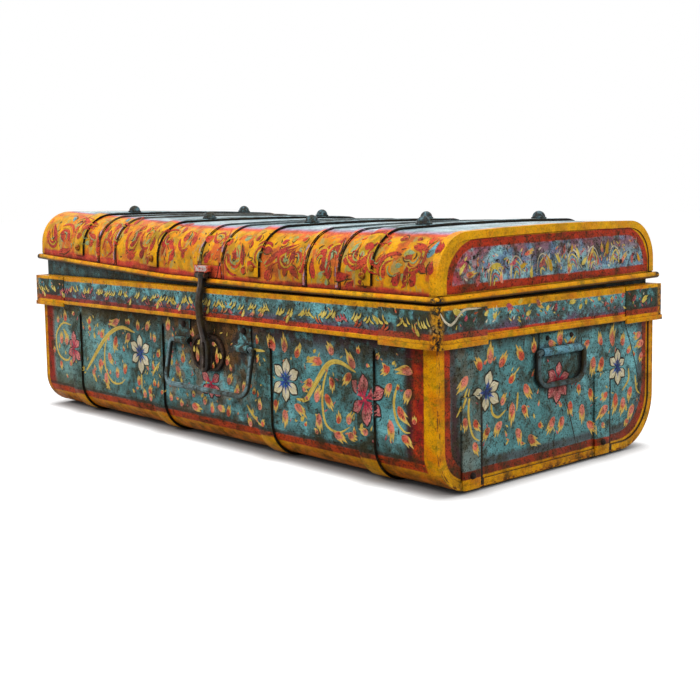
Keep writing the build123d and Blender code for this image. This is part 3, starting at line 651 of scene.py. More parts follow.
ENAMEL = ageing(0.9, 0.85, 1.0, 0.5, 0.5, 0.85)
SPARE = dict(ENAMEL, Grime=0.5, Speckle=0.6, Chips=0.4)
MATT = ("body_enamel", "body_strap_enamel")
stud_colour = two_tones(ink(52, 52, 52), ink(92, 122, 132), 5, 0.46, 0.62)
rivet_colour = two_tones(ink(176, 116, 20), RUST_RED, 4, 0.42, 0.58)
LAYOUTS = {
    "body_enamel": (ENAMEL, body_colour),
    "end_enamel": (ENAMEL, end_colour),
    "band_enamel": (dict(ENAMEL, Dents=0.2), band_colour),
    "end_band_enamel": (dict(ENAMEL, Dents=0.2), end_band_colour),
    "cap_enamel": (dict(ENAMEL, Chips=1.0, Dents=0.25), cap_colour),
    "collar_enamel": (dict(ENAMEL, Streaks=0.3), collar_colour),
    "body_strap_enamel": (dict(ENAMEL, Dents=0.1, CreviceDirtAndShade=0.45), body_strap_colour),
    "cleat_enamel": (dict(ENAMEL, Dents=0.1, CreviceDirtAndShade=0.3), cleat_colour),
    "plate_enamel": (dict(ENAMEL, Dents=0.1), plate_colour),
    "hasp_plate_enamel": (dict(SPARE, Dents=0.1), hasp_plate_colour),
    "hasp_enamel": (dict(ENAMEL, Streaks=0.5, Speckle=0.5, Dents=0.1), hasp_colour),
    "lid_enamel": (dict(SPARE, Dents=0.3), lid_colour),
    "lid_strap_enamel": (dict(SPARE, Dents=0.1), lid_strap_colour),
    "lid_end_enamel": (ENAMEL, lid_end_colour),
    "bead_enamel": (dict(SPARE, Dents=0.1, CreviceDirtAndShade=1.0), bead_colour),
    "seam_enamel": (dict(SPARE, Dents=0.0, CreviceDirtAndShade=1.0), seam_colour),
    "stud_enamel": (dict(ENAMEL, Dents=0.0), stud_colour),
    "wire_enamel": (dict(ENAMEL, Dents=0.0, Speckle=0.5), wire_colour),
    "rivet_enamel": (dict(SPARE, Dents=0.0, CreviceDirtAndShade=1.0), rivet_colour),
    "hinge_enamel": (dict(ENAMEL, Dents=0.0), two_tones(SLATE, IRON, 14, 0.4, 0.62)),
}
FINISH = {
    name: finish_with(name, OLD_ENAMEL, plugs, colour, shine=MATT_SHINE if name in MATT else SHINE)
    for name, (plugs, colour) in LAYOUTS.items()
}
CAST = {"Rusting": 0.6, "Light": ink(78, 56, 40)}
FINISH["lock_iron"] = finish_with("lock_iron", OLD_IRON, CAST, metallic=0.15)
FINISH["rivet_iron"] = finish_with("rivet_iron", OLD_IRON, {"Rusting": 0.5}, metallic=0.2)

# ---- the metal pieces: rims broken and faces smoothed as wear leaves them --------------------

BODY_OF = {node: body for body, nodes in frame["record"]["behaviour"]["bodies"].items() for node in nodes}
STRAP_END, STRAP_END_DROP = 11, 0.55     # mm of a strap's upper end that slant, and by what share


def only(obj):
    if bpy.context.object and bpy.context.object.mode != "OBJECT":
        bpy.ops.object.mode_set(mode="OBJECT")
    bpy.ops.object.select_all(action="DESELECT")
    obj.select_set(True)
    bpy.context.view_layer.objects.active = obj


def slope_ends(piece, start):
    """Slants a strap's two upper ends, so that they thin toward their outer rim."""
    for vertex in piece.data.vertices:
        up = vertex.co.z / MM - start
        if up > 0 and abs(vertex.co.y) / MM > -FRONT_Y + 1:
            vertex.co.z -= STRAP_END_DROP * up * MM


def round_rims(piece, width):
    bevel = piece.modifiers.new("rim", "BEVEL")
    bevel.width = width * MM
    bevel.segments = 2
    bevel.limit_method = "ANGLE"
    bevel.angle_limit = math.radians(38)
    bpy.ops.object.modifier_apply(modifier=bevel.name)


def dress(piece, finish):
    piece.data.materials.clear()
    piece.data.materials.append(FINISH[finish])


def worn_piece(node, finish, rim):
    """A copy of a node with its sharp rims rounded by wear, standing for the node."""
    source = frame["nodes"][node]
    piece = source.copy()
    piece.data = source.data.copy()
    piece.parent = None
    piece.name = f"{node}_worn"
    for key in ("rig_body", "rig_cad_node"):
        if key in piece:
            del piece[key]
    bpy.context.scene.collection.objects.link(piece)
    only(piece)
    bpy.ops.object.mode_set(mode="EDIT")
    bpy.ops.mesh.select_all(action="SELECT")
    bpy.ops.mesh.remove_doubles(threshold=0.00001)
    bpy.ops.mesh.dissolve_limited(angle_limit=math.radians(0.6))
    bpy.ops.object.mode_set(mode="OBJECT")
    if node.startswith("body_strap"):
        slope_ends(piece, hi(node).z - STRAP_END)
    if rim:
        round_rims(piece, rim)
    bpy.ops.object.shade_smooth_by_angle(angle=math.radians(32))
    dress(piece, finish)
    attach(piece, BODY_OF[node])
    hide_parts(node)


def each(pattern, *choices):
    """The node names that a pattern makes with every choice."""
    return [pattern.format(*words) for words in itertools.product(*choices)]


SIDES, ENDS = ("left", "right"), ("front", "back")
# finish: its slot, how far wear has rounded the rims in mm, its nodes
WORN = {
    "body_strap_enamel": ("strap_paint", 0.6, numbered("body_strap")),
    "lid_strap_enamel": ("lid_strap_paint", 0.8, numbered("lid_strap")),
    "cap_enamel": ("cap_paint", 0.5, each("corner_cap_{}_{}", ENDS, SIDES)),
    "cleat_enamel": ("strap_paint", 0.9, each("cleat_{}_{}", SIDES, ("front", "rear"))),
    "plate_enamel": ("plate_paint", 0.4,
                     each("front_handle_plate_{}", SIDES) + each("{}_handle_plate", SIDES)),
    "lock_iron": ("lock_iron", 0.5, ["lock_plate"]),
    "hasp_plate_enamel": ("hasp_plate_paint", 0.4, ["hasp_plate"]),
    "hasp_enamel": ("hasp_iron", 0.5, ["hasp"]),
    "hinge_enamel": ("hinge_iron", 0.3, each("hinge_{}_{}", ("lower", "upper"), SIDES)),
    "stud_enamel": ("rivet_iron", 0.3, ["lid_studs"]),
    "rivet_enamel": ("rivet_iron", 0, ["strap_rivets"]),
    "rivet_iron": ("rivet_iron", 0, ["body_rivets", "hasp_pin"] + each("hinge_pin_{}", SIDES)),
    "wire_enamel": ("wire_paint", 0, each("{}_bail", ("front",) + SIDES)),
    "bead_enamel": ("bead_paint", 0, ["rim_bead"]),
}
for finish, (slot, rim, nodes) in WORN.items():
    for node in nodes:
        worn_piece(node, finish, rim)

PAINTED = {
    "body_enamel": ["body_wrap"], "end_enamel": each("end_panel_{}", SIDES), "collar_enamel": ["collar"],
    "band_enamel": each("band_{}", ENDS), "end_band_enamel": each("band_{}", SIDES),
    "lid_enamel": ["lid_wrap"], "lid_end_enamel": each("lid_end_{}", SIDES),
}
for finish, nodes in PAINTED.items():
    for node in nodes:
        dress(frame["nodes"][node], finish)

# ---- the folded corners, where the long sheets are rolled over the end panels -----------------

FRONT_BEND, REAR_BEND = 40, 58           # radius of the body's lower bends
BODY_LOW = lo("body_wrap").z
BAND_LOW = lo("band_front").z
ROLL_RADIUS, ROLL_INSET = 1.6, 1.3


def arc(centre_y, centre_z, radius, start, end, steps=9):
    angles = [math.radians(start + (end - start) * k / steps) for k in range(steps + 1)]
    return [(centre_y + radius * math.cos(a), centre_z + radius * math.sin(a)) for a in angles]


def seam_roll(name, x, outline):
    """A round edge along an end outline given as (y, z) in mm."""
    bpy.ops.object.select_all(action="DESELECT")
    bpy.ops.curve.primitive_nurbs_path_add(location=(0, 0, 0))
    roll = bpy.context.object
    roll.name = name
    shape = roll.data
    shape.splines.clear()
    line = shape.splines.new("POLY")
    line.points.add(len(outline) - 1)
    for point, (y, z) in zip(line.points, outline):
        point.co = (x * MM, y * MM, z * MM, 1.0)
    shape.bevel_depth = ROLL_RADIUS * MM
    shape.bevel_resolution = 2
    shape.use_fill_caps = True
    bpy.ops.object.convert(target="MESH")
    dress(roll, "seam_enamel")
    bpy.ops.object.shade_smooth_by_angle(angle=math.radians(50))
    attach(roll, "trunk")


def body_edge():
    """The outline of the body's end, from the band down, under and up again."""
    front = FRONT_Y + ROLL_INSET
    turn_front = arc(FRONT_Y + FRONT_BEND, BODY_LOW + FRONT_BEND, FRONT_BEND - ROLL_INSET, 180, 270)
    turn_rear = arc(-FRONT_Y - REAR_BEND, BODY_LOW + REAR_BEND, REAR_BEND - ROLL_INSET, 270, 360)
    return [(front, BAND_LOW), *turn_front, *turn_rear, (-front, BAND_LOW)]


for side, sign in (("right", 1), ("left", -1)):
    seam_roll(f"body_seam_roll_{side}", sign * (HALF_LONG + 0.2), body_edge())

# ---- where the brush can go: each face of the trunk as a flat sheet (u, v), in mm -----------

BODY_STRAP_TOP = hi("body_strap_1").z
HANDLE_PLATE_LOW = lo("front_handle_plate_left").z
END_PLATE_LOW = lo("right_handle_plate").z + 8
FRONT_PLATES_X = ((-45, -19), (73, 99))
END_PLATE_Y, END_PLATE_HALF = 5, 32.5
PLATE_PROUD, CAP_PROUD, CLEAT_PROUD = 1.6, 1.25, 2.4
BODY_STRAP_HALF, LID_STRAP_HALF, CLEAT_HALF = 12, 11, 13
RIB_STEPS = ((2.4, 2.05), (4, 1.05))     # how far from a rib's middle, and how high it stands there
STRAP_FOOT, RIB_FOOT = 13, 10            # where they start above the lid's rim
LOCK_Y = lo("lock_plate").y
CAP_FROM_X = lo("corner_cap_front_right").x
CAP_FROM_Y = lo("corner_cap_back_right").y
SHOULDER_TURN = math.radians(91.7)


def lift_at(x):
    """How far the sprung lid's front and rear edges are lifted at x."""
    x = max(-LID_END, min(LID_END, x))
    for (xa, fa, ba), (xb, fb, bb) in zip(LID_LIFT, LID_LIFT[1:]):
        if x <= xb:
            t = (x - xa) / (xb - xa)
            return fa + t * (fb - fa), ba + t * (bb - ba)


def off_centre(u, centres):
    return min(abs(u - c) for c in centres)


def mirrored(face, axis):
    """The same face on the other side of the trunk."""
    def other(u, v, h):
        spot = face(u, v, h)
        spot[axis] = -spot[axis]
        return spot

    return other


def plain_side(u, v, h):
    if v < BODY_STRAP_TOP and off_centre(u, BODY_STRAP_X) < BODY_STRAP_HALF:
        h += STRAP_PROUD
    return Vector((u, FRONT_Y - h, v))


def front_face(u, v, h):
    if v > HANDLE_PLATE_LOW and any(start < u < end for start, end in FRONT_PLATES_X):
        h += PLATE_PROUD
    return plain_side(u, v, h)


def lock_face(u, v, h):
    return Vector((u, LOCK_Y - h, v))


def right_face(u, v, h):
    if v < CLEAT_TOP and off_centre(u, CLEAT_Y) < CLEAT_HALF:
        h += CLEAT_PROUD
    if v > END_PLATE_LOW and abs(u - END_PLATE_Y) < END_PLATE_HALF:
        h += PLATE_PROUD
    return Vector((HALF_LONG + h, u, v))


def seat_on_lid(x, y, z):
    """Where a point drawn on the lid's even section goes once the lid has sprung."""
    front, rear = lift_at(x)
    tilt = math.atan2(rear - front, -2 * FRONT_Y)
    up = z - LID_LO
    return Vector((x, y * math.cos(tilt) - up * math.sin(tilt),
                   LID_LO + (front + rear) / 2 + y * math.sin(tilt) + up * math.cos(tilt)))


def lid_face(u, s, h, side=1):
    """Front of the lid, or its back with side -1: s runs up from the rim and over the shoulder."""
    under = [0]
    if s > RIB_FOOT:
        under += [tall for half, tall in RIB_STEPS if off_centre(u, RIB_X) < half]
    if s > STRAP_FOOT and off_centre(u, LID_STRAP_X) < LID_STRAP_HALF:
        under.append(STRAP_PROUD + 0.05)
    h += max(under)
    upright = LID_SIDE - LID_LO
    if s < upright:
        y, z = FRONT_Y - h, LID_LO + s
    else:
        turn = min((s - upright) / LID_R, SHOULDER_TURN)
        y = SHOULDER_Y - (LID_R + h) * math.cos(turn) + max(0, s - upright - LID_R * SHOULDER_TURN)
        z = LID_SIDE + (LID_R + h) * math.sin(turn)
    return seat_on_lid(u, side * y, z)


def lid_back_face(u, s, h):
    return lid_face(u, s, h, -1)


def lid_end_face(u, v, h, sign=1):
    spot = seat_on_lid(sign * LID_END, u, v)
    return Vector((sign * (HALF_LONG + h), spot.y, spot.z))


def left_lid_end_face(u, v, h):
    return lid_end_face(u, v, h, -1)


def band_face(u, v, h):
    return Vector((u, BAND_Y - h - (CAP_PROUD if abs(u) > CAP_FROM_X else 0), v))


def end_band_face(u, v, h):
    return Vector((BAND_X + h + (CAP_PROUD if abs(u) > CAP_FROM_Y else 0), u, v))


# ---- brush strokes ------------------------------------------------------------------------

STROKE_WIDTHS = {
    "dab": (0.0, 0.62, 0.88, 1.0, 0.97, 0.88, 0.74, 0.58, 0.4, 0.2, 0.0),
    "petal": (0.14, 0.3, 0.5, 0.7, 0.86, 0.97, 1.0, 0.92, 0.72, 0.44, 0.08),
    "eye": (0.0, 0.6, 0.8, 0.92, 0.98, 1.0, 0.98, 0.92, 0.8, 0.6, 0.0),
    "line": (0.3, 0.55, 0.72, 0.84, 0.92, 0.97, 1.0, 1.0, 1.0, 1.0, 1.0, 0.97, 0.94,
             0.9, 0.86, 0.8, 0.74, 0.66, 0.56, 0.42, 0.2),
}
RIM_HEIGHT = 0.07
SKIN = 0.08


def make_stroke(name, widths):
    """A flat stroke 1 long and 1 wide, narrowed column by column, its middle raised."""
    bpy.ops.object.select_all(action="DESELECT")
    steps = len(widths) - 1
    bpy.ops.mesh.primitive_grid_add(x_subdivisions=steps, y_subdivisions=4, size=1.0)
    stroke = bpy.context.object
    stroke.name = f"stroke_{name}"
    mesh = stroke.data

    def choose(test):
        for part in (mesh.edges, mesh.polygons):
            part.foreach_set("select", [False] * len(part))
        mesh.vertices.foreach_set("select", [test(v.co) for v in mesh.vertices])
        bpy.ops.object.mode_set(mode="EDIT")

    choose(lambda co: abs(co.y) < 0.4)
    bpy.ops.transform.translate(value=(0, 0, 1.0))
    bpy.ops.object.mode_set(mode="OBJECT")
    for k, width in enumerate(widths):
        at = k / steps - 0.5
        choose(lambda co: abs(co.x - at) < 0.001)
        bpy.ops.transform.resize(value=(1.0, max(width, 0.02), 1.0), center_override=(at, 0, 0))
        bpy.ops.object.mode_set(mode="OBJECT")
    return stroke


STROKES = {name: make_stroke(name, widths) for name, widths in STROKE_WIDTHS.items()}


def along(points, t):
    """Place and heading at share t of a smooth line through the points."""
    spans = [math.dist(a, b) for a, b in zip(points, points[1:])]
    left = t * sum(spans)
    k = 0
    while k < len(spans) - 1 and left > spans[k]:
        left -= spans[k]
        k += 1
    s = left / spans[k]
    p1, p2 = Vector(points[k]), Vector(points[k + 1])
    p0 = Vector(points[k - 1]) if k else p1 * 2 - p2
    p3 = Vector(points[k + 2]) if k + 2 < len(points) else p2 * 2 - p1
    a = 2 * p1
    b = p2 - p0
    c = 2 * p0 - 5 * p1 + 4 * p2 - p3
    d = 3 * p1 - p0 - 3 * p2 + p3
    spot = 0.5 * (a + b * s + c * s * s + d * s * s * s)
    heading = (b + 2 * c * s + 3 * d * s * s).normalized()
    return spot, heading


def brush(layer, face, points, width, paint, form="dab", height=0.1):
    """One stroke of paint laid on a face along the points."""
    piece = STROKES[form].copy()
    piece.data = STROKES[form].data.copy()
    for vertex in piece.data.vertices:
        spot, heading = along(points, min(max(vertex.co.x + 0.5, 0.0), 1.0))
        side = vertex.co.y * width
        place = face(spot.x - heading.y * side, spot.y + heading.x * side, height + vertex.co.z * RIM_HEIGHT)
        vertex.co = place * MM
    piece.data.materials.append(PAINT[paint])
    layer.append(piece)


def finish_layer(name, layer, inside_out=False):
    """Joins the strokes of one face into a thin closed skin of paint that rides on the body."""
    bpy.ops.object.select_all(action="DESELECT")
    for piece in layer:
        bpy.context.scene.collection.objects.link(piece)
        piece.select_set(True)
    bpy.context.view_layer.objects.active = layer[0]
    bpy.ops.object.join()
    skin = bpy.context.object
    skin.name = name
    bpy.ops.object.mode_set(mode="EDIT")
    bpy.ops.mesh.select_all(action="SELECT")
    if inside_out:
        bpy.ops.mesh.flip_normals()
    bpy.ops.object.mode_set(mode="OBJECT")
    thick = skin.modifiers.new("paint", "SOLIDIFY")
    thick.thickness = SKIN * MM
    thick.offset = -1.0
    bpy.ops.object.modifier_apply(modifier=thick.name)
    bpy.ops.object.shade_smooth_by_angle(angle=math.radians(40))
    on_lid = name.startswith("lid")
    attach(skin, "lid" if on_lid else "trunk")


def toward(u, v, angle, far):
    return u + far * math.cos(angle), v + far * math.sin(angle)


def leaf(layer, face, u0, v0, u1, v1, fat=1.0, paint="leaf", tips=3):
    """A leaf from its round base to its tip, laid with a brush whose hairs part at the end."""
    length = math.dist((u0, v0), (u1, v1))
    width = min((0.26 * length + 2.8) * fat, 9.5)
    du, dv = (u1 - u0) / length, (v1 - v0) / length
    bow = random.uniform(-0.1, 0.1) * length
    level = random.uniform(0.0, 0.03)
    sides = {1: (0,), 2: (-1, 0), 3: (-1, 1, 0), 4: (-1.4, 1.4, -0.5, 0.5)}[tips]
    for k, side in enumerate(sides):
        reach = length * (random.uniform(1.0, 1.14) if side == 0 else random.uniform(0.72, 1.0))
        spread = side * 0.4 * width
        out = spread * 0.7 + bow
        belly = (u0 + du * reach * 0.5 - dv * out, v0 + dv * reach * 0.5 + du * out)
        tip = (u0 + du * reach - dv * spread * 0.95, v0 + dv * reach + du * spread * 0.95)
        broad = width * (0.66 if tips > 1 and side == 0 else 0.56 if tips > 1 else 1.0)
        brush(layer, face, ((u0, v0), belly, tip), broad, paint, height=0.1 + level + 0.02 * k)


def lay_petals(layer, face, u, v, tips, petal_paint, eye_paint):
    """Pointed petals round an eye, each with its own thin dark outline."""
    for k, (pu, pv) in enumerate(tips):
        du, dv = pu - u, pv - v
        long = math.hypot(du, dv)
        width = 0.42 * long + 1.9
        height = 0.035 * k
        past = 1 + 1.5 / long
        root, over = (u + du * 0.14, v + dv * 0.14), (u + du * past, v + dv * past)
        brush(layer, face, (root, over), width + 2.8, "outline", "petal", 0.05 + height)
        brush(layer, face, (root, (pu, pv)), width, petal_paint, "petal", 0.09 + height)
        vein = (u + du * random.uniform(0.55, 0.72), v + dv * random.uniform(0.55, 0.72))
        brush(layer, face, ((u, v), vein), width * 0.22, eye_paint, "dab", 0.14 + height)
    for k in range(4):
        brush(layer, face, ((u, v), toward(u, v, 1.57 * k + 0.3 * u, 4.2)), 2.4, eye_paint, "dab", 0.42)
    brush(layer, face, ((u - 2.5, v), (u + 2.5, v)), 5.0, eye_paint, "eye", 0.44)


def flower(layer, face, u, v, reach, petals, *paints):
    tips = []
    for k in range(petals):
        angle = math.radians(90.0 + 360.0 * k / petals + random.uniform(-7, 7))
        far = reach * random.uniform(0.9, 1.12)
        tips.append((u + far * math.cos(angle), v + far * math.sin(angle) * 1.08))
    lay_petals(layer, face, u, v, tips, *paints)


def specks(layer, face, area, count, paints):
    """Loose short ticks between the leaves."""
    left, right, low, high = area
    for _ in range(count):
        u, v = random.uniform(left, right), random.uniform(low, high)
        angle = random.uniform(0.2, 2.9)
        tip = toward(u, v, angle, random.uniform(3.5, 7.5))
        brush(layer, face, ((u, v), tip), random.uniform(1.2, 2.4), random.choice(paints), "dab", 0.05)


def small_leaves(layer, face, area, count, keep_off, fat):
    """Little leaves scattered between the big ones, clear of the flowers."""
    left, right, low, high = area
    while count:
        u, v = random.uniform(left, right), random.uniform(low, high)
        if min(math.dist((u, v), spot) for spot in keep_off) < 24:
            continue
        count -= 1
        angle = math.radians(90 + random.uniform(-50, 50) * random.choice((1, 1, 2.4)))
        tip = toward(u, v, angle, random.uniform(5.5, 9.5))
        paint, tips = random.choice(("leaf", "leaf", "leaf", "vine")), random.choice((1, 2))
        leaf(layer, face, u, v, *tip, fat, paint, tips)


def hatch(layer, face, u0, v0, u1, v1, paints, flip):
    """A thin broken line that follows a bigger stroke at a little distance."""
    length = math.dist((u0, v0), (u1, v1))
    du, dv = (u1 - u0) / length, (v1 - v0) / length
    off = random.choice((-1, 1)) * random.uniform(2.6, 4.6)
    bow = off * random.uniform(1.2, 1.9)
    line = ((u0 - dv * off, v0 + du * off), ((u0 + u1) / 2 - dv * bow, (v0 + v1) / 2 + du * bow),
            (u1 - dv * off * 0.6, v1 + du * off * 0.6))
    line = [(flip * u, max(v, 10.5)) for u, v in line]
    brush(layer, face, line, random.uniform(0.9, 1.6), random.choice(paints), "line", 0.22)


# ---- paints for the strokes -----------------------------------------------------------------


def by_length(g):
    """Share along the stroke, share across it, and noise drawn out along its hairs."""
    own = g.node("ShaderNodeUVMap", uv_map="UVMap").outputs[0]
    run, across, _ = g.node("ShaderNodeSeparateXYZ", {0: own}).outputs
    drag = g.node("ShaderNodeCombineXYZ", {0: g.times(run, 1.6), 1: g.times(across, 11)}).outputs[0]
    mixed = g.vector("ADD", drag, g.vector("MULTIPLY", g.where, (0.04, 0.04, 0.04)))
    return run, across, g.noise(1, 3, 0.6, at=mixed)


def leaf_paint(g):
    run, across, hairs = by_length(g)
    off = g.swing(across, 1.9)
    past = g.times(g.add(run, -0.24), 2.6)
    core = g.add(g.times(off, off), g.times(past, past), g.swing(hairs, 3.4))
    red = g.blend(g.patches(22, 0.4, 0.58, 2), ink(214, 86, 64), ink(234, 136, 116))
    rim = g.blend(g.step(hairs, 0.42, 0.62), ink(232, 206, 108), ink(214, 156, 62))
    return g.blend(g.step(core, 1.15, 0.55), rim, red)


def vine_paint(g):
    return g.blend(g.step(by_length(g)[2], 0.4, 0.6), ink(230, 206, 102), ink(198, 156, 54))


def petal_paint(light, shade, hairs_from, root, root_end, root_start):
    """Petals with a second colour drawn out from their root."""
    def colour(g):
        run, _, hairs = by_length(g)
        at_root = g.step(g.add(run, g.swing(hairs, 0.9)), root_end, root_start)
        return g.blend(at_root, g.blend(g.step(hairs, hairs_from, 0.6), light, shade), root)

    return colour


def plain_paint(first, second, grain=8):
    return two_tones(first, second, grain, 0.4, 0.62, 3)


PAINT_AGE = ageing(0.7, 0.55, 0.95, 0.8, 0.0, 0.4)
PAINT = {
    name: finish_with(f"{name}_paint", OLD_ENAMEL, PAINT_AGE, colour)
    for name, colour in {
        "leaf": leaf_paint,
        "vine": vine_paint,
        "cream": petal_paint(ink(236, 228, 200), ink(206, 192, 150), 0.36, EYE_BLUE, 0.34, 0.16),
        "pink": petal_paint(ink(232, 150, 140), ink(196, 84, 90), 0.38, ROSE, 0.42, 0.14),
        "blue_eye": plain_paint(EYE_BLUE, ink(30, 60, 130)),
        "rose_eye": plain_paint(ROSE, ink(140, 36, 56)),
        "outline": plain_paint(ink(30, 26, 28), ink(58, 48, 44)),
        "scroll": plain_paint(ink(208, 78, 44), ink(186, 52, 44), 18),
        "sage": plain_paint(ink(142, 162, 122), ink(168, 158, 62)),
        "sky": plain_paint(ink(110, 166, 178), ink(92, 140, 160)),
        "gold": plain_paint(ink(222, 164, 30), ink(190, 150, 44)),
        "lemon": plain_paint(ink(232, 208, 110), ink(202, 176, 70)),
        "blush": plain_paint(ink(218, 116, 104), ink(190, 80, 96)),
        "bone": plain_paint(ink(220, 210, 184), ink(188, 174, 146)),
        "crack": plain_paint(SOOT_AND_SHADE_BLACK, EARTH),
        "umber": plain_paint(ink(92, 66, 24), ink(64, 44, 26)),
        "rust": plain_paint(ink(206, 96, 56), ink(150, 50, 36)),
    }.items()
}

# ---- the painted ornament, in mm on each face: every stroke from its base to its tip --------

FRONT_LEAVES = [
    (-344, 119, -343, 129), (-322, 122, -325, 139), (-292, 133, -298, 137), (-336, 90, -336, 108),
    (-321, 89, -317, 106), (-356, 76, -358, 85), (-340, 66, -336, 53), (-314, 62, -308, 71),
    (-260, 123, -253, 134), (-255, 114, -260, 122), (-159, 129, -157, 137), (-137, 123, -137, 136),
    (-118, 124, -109, 137), (-190, 112, -195, 91), (-210, 89, -200, 74), (-231, 79, -231, 59),
    (-249, 63, -250, 50), (-221, 61, -210, 40), (-190, 57, -189, 72), (-172, 64, -170, 79),
    (-139, 53, -139, 66), (-124, 39, -128, 51), (-113, 44, -110, 57), (-95, 112, -96, 122),
    (-105, 113, -107, 122), (-91, 95, -83, 105), (-104, 80, -98, 89), (-97, 57, -97, 67),
    (-112, 36, -112, 47), (-62, 112, -65, 119), (-53, 87, -46, 71), (-17, 125, -17, 134),
    (-44, 115, -47, 122), (31, 106, 35, 119), (50, 97, 54, 108), (52, 75, 60, 89), (68, 67, 70, 77),
    (80, 72, 84, 82), (-66, 42, -68, 53), (-43, 38, -44, 47), (-19, 52, -18, 60), (-22, 42, -2, 40),
    (4, 46, 8, 56), (18, 38, 20, 51), (30, 47, 45, 46), (49, 38, 55, 51), (137, 121, 132, 139),
    (155, 121, 153, 142), (110, 127, 111, 137), (107, 106, 113, 115), (174, 117, 181, 133),
    (217, 116, 192, 114), (200, 96, 184, 87), (206, 73, 214, 92), (230, 102, 232, 87), (261, 109, 248, 96),
    (221, 84, 232, 68), (170, 66, 189, 55), (153, 59, 153, 38), (210, 62, 212, 43), (240, 55, 241, 68),
    (256, 56, 261, 70), (234, 43, 253, 37), (255, 47, 270, 42), (288, 52, 275, 55), (317, 121, 305, 113),
    (348, 118, 323, 119), (319, 105, 311, 91), (346, 102, 336, 87), (328, 84, 343, 68), (317, 69, 317, 46),
    (332, 55, 347, 46), (349, 69, 350, 78), (274, 131, 276, 139), (299, 127, 302, 134), (112, 54, 114, 67),
    (99, 69, 100, 77), (94, 32, 88, 42), (117, 36, 121, 44), (138, 68, 138, 53), (80, 68, 84, 78),
    (67, 63, 66, 73),
]
FRONT_FAT_LEAVES = [
    (-230, 108, -219, 119), (-183, 134, -207, 127), (-156, 117, -169, 104), (-69, 128, -68, 145),
    (-40, 92, -38, 107), (233, 125, 225, 138), (267, 115, 254, 132),
]
FRONT_VINES = [
    ((-306, 118), (-331, 119), (-350, 101), (-345, 76), (-324, 68), (-312, 75), (-313, 94), (-323, 109)),
    ((-212, 110), (-220, 91), (-219, 67), (-203, 51), (-183, 51), (-171, 58)), ((-132, 72), (-132, 49)),
    ((-85, 88), (-103, 69), (-106, 50)), ((101, 120), (125, 120)),
    ((227, 114), (218, 93), (216, 70), (222, 51), (241, 46), (258, 54)),
    ((327, 105), (322, 86), (326, 69), (336, 60), (344, 60)), ((86, 56), (99, 44), (118, 36)),
]
FRONT_THICK_VINES = [
    ((-269, 60), (-216, 108), (-178, 124), (-145, 120)),
    ((174, 73), (189, 74), (204, 91), (224, 114), (243, 119), (268, 111)),
]
# middle, reach, number of petals, paints
FRONT_FLOWERS = [
    (-297, 87, 20, 6, "pink", "rose_eye"), (-133, 95, 23, 6, "cream", "blue_eye"),
    (156, 91, 22, 6, "cream", "blue_eye"), (284, 86, 24, 6, "pink", "rose_eye"),
]
# middle, petal tips
BAIL_FLOWER = (18, 73, ((1, 84), (34, 84), (2, 61), (19, 56), (36, 60)))
LOCK_LEAVES = [
    (-2, 97, -3, 113, "leaf"), (36, 98, 37, 115, "leaf"), (27, 121, 36, 119, "leaf"),
    (6, 122, -2, 118, "vine"), (-10, 108, -9, 115, "vine"), (43, 104, 42, 111, "vine"),
    (8, 96, 6, 104, "pink"), (27, 92, 30, 99, "leaf"),
]

END_LEAVES = [
    (-88, 117, -77, 133), (-35, 126, -35, 142), (-135, 114, -151, 98), (-74, 100, -63, 110),
    (-50, 96, -38, 79), (-86, 79, -78, 90), (-69, 80, -71, 57), (-54, 74, -44, 61), (-85, 63, -96, 48),
    (-128, 71, -120, 59), (-103, 59, -113, 48), (-142, 75, -143, 60), (-129, 49, -123, 35),
    (-63, 52, -56, 35), (-44, 42, -25, 31), (-38, 36, -38, 30), (-1, 56, -13, 40), (14, 54, 5, 37),
    (26, 69, 25, 51), (46, 63, 46, 42), (59, 78, 66, 63), (88, 71, 80, 60), (41, 85, 41, 73),
    (67, 112, 63, 90), (83, 110, 76, 91), (59, 130, 49, 119), (82, 123, 76, 137), (121, 118, 122, 134),
    (129, 109, 135, 118), (108, 67, 102, 44), (122, 61, 117, 41), (137, 71, 133, 54), (143, 49, 130, 31),
    (90, 55, 69, 43), (55, 42, 70, 26), (133, 34, 124, 27), (79, 38, 85, 32), (-28, 51, -20, 48),
    (156, 129, 141, 125), (161, 119, 144, 114), (158, 107, 153, 96), (9, 69, 9, 64), (-13, 136, 0, 129),
    (7, 129, 8, 149), (16, 126, 32, 136),
]
END_FAT_LEAVES = [
    (-102, 122, -101, 145), (-51, 121, -63, 137), (-116, 117, -124, 131), (102, 119, 104, 144),
]
END_VINES = [
    ((-132, 101), (-136, 88), (-136, 73), (-130, 55), (-118, 48)), ((-135, 102), (-145, 84), (-151, 76)),
    ((-101, 85), (-99, 73), (-90, 68), (-78, 74)), ((-60, 89), (-62, 70)),
    ((132, 92), (132, 79), (120, 68)), ((145, 83), (148, 67), (155, 60)), ((108, 57), (102, 44)),
]
END_CREASES = [
    ((17, 73), (27, 48), (36, 21)), ((122, 148), (137, 116), (148, 88), (155, 58)),
    ((-50, 143), (-51, 133)), ((-1, 38), (-3, 22)), ((45, 135), (46, 125)),
]
# middle, petal tips, paints
END_FLOWERS = [
    (-108, 95, ((-102, 115), (-90, 102), (-90, 83), (-110, 77), (-127, 95)), "cream", "blue_eye"),
    (111, 96, ((111, 115), (97, 106), (123, 103), (96, 85), (112, 76), (124, 84)), "cream", "blue_eye"),
    (5, 94, ((7, 112), (-11, 104), (-14, 92), (23, 98), (-11, 77), (2, 70), (18, 77)), "pink", "rose_eye"),
]

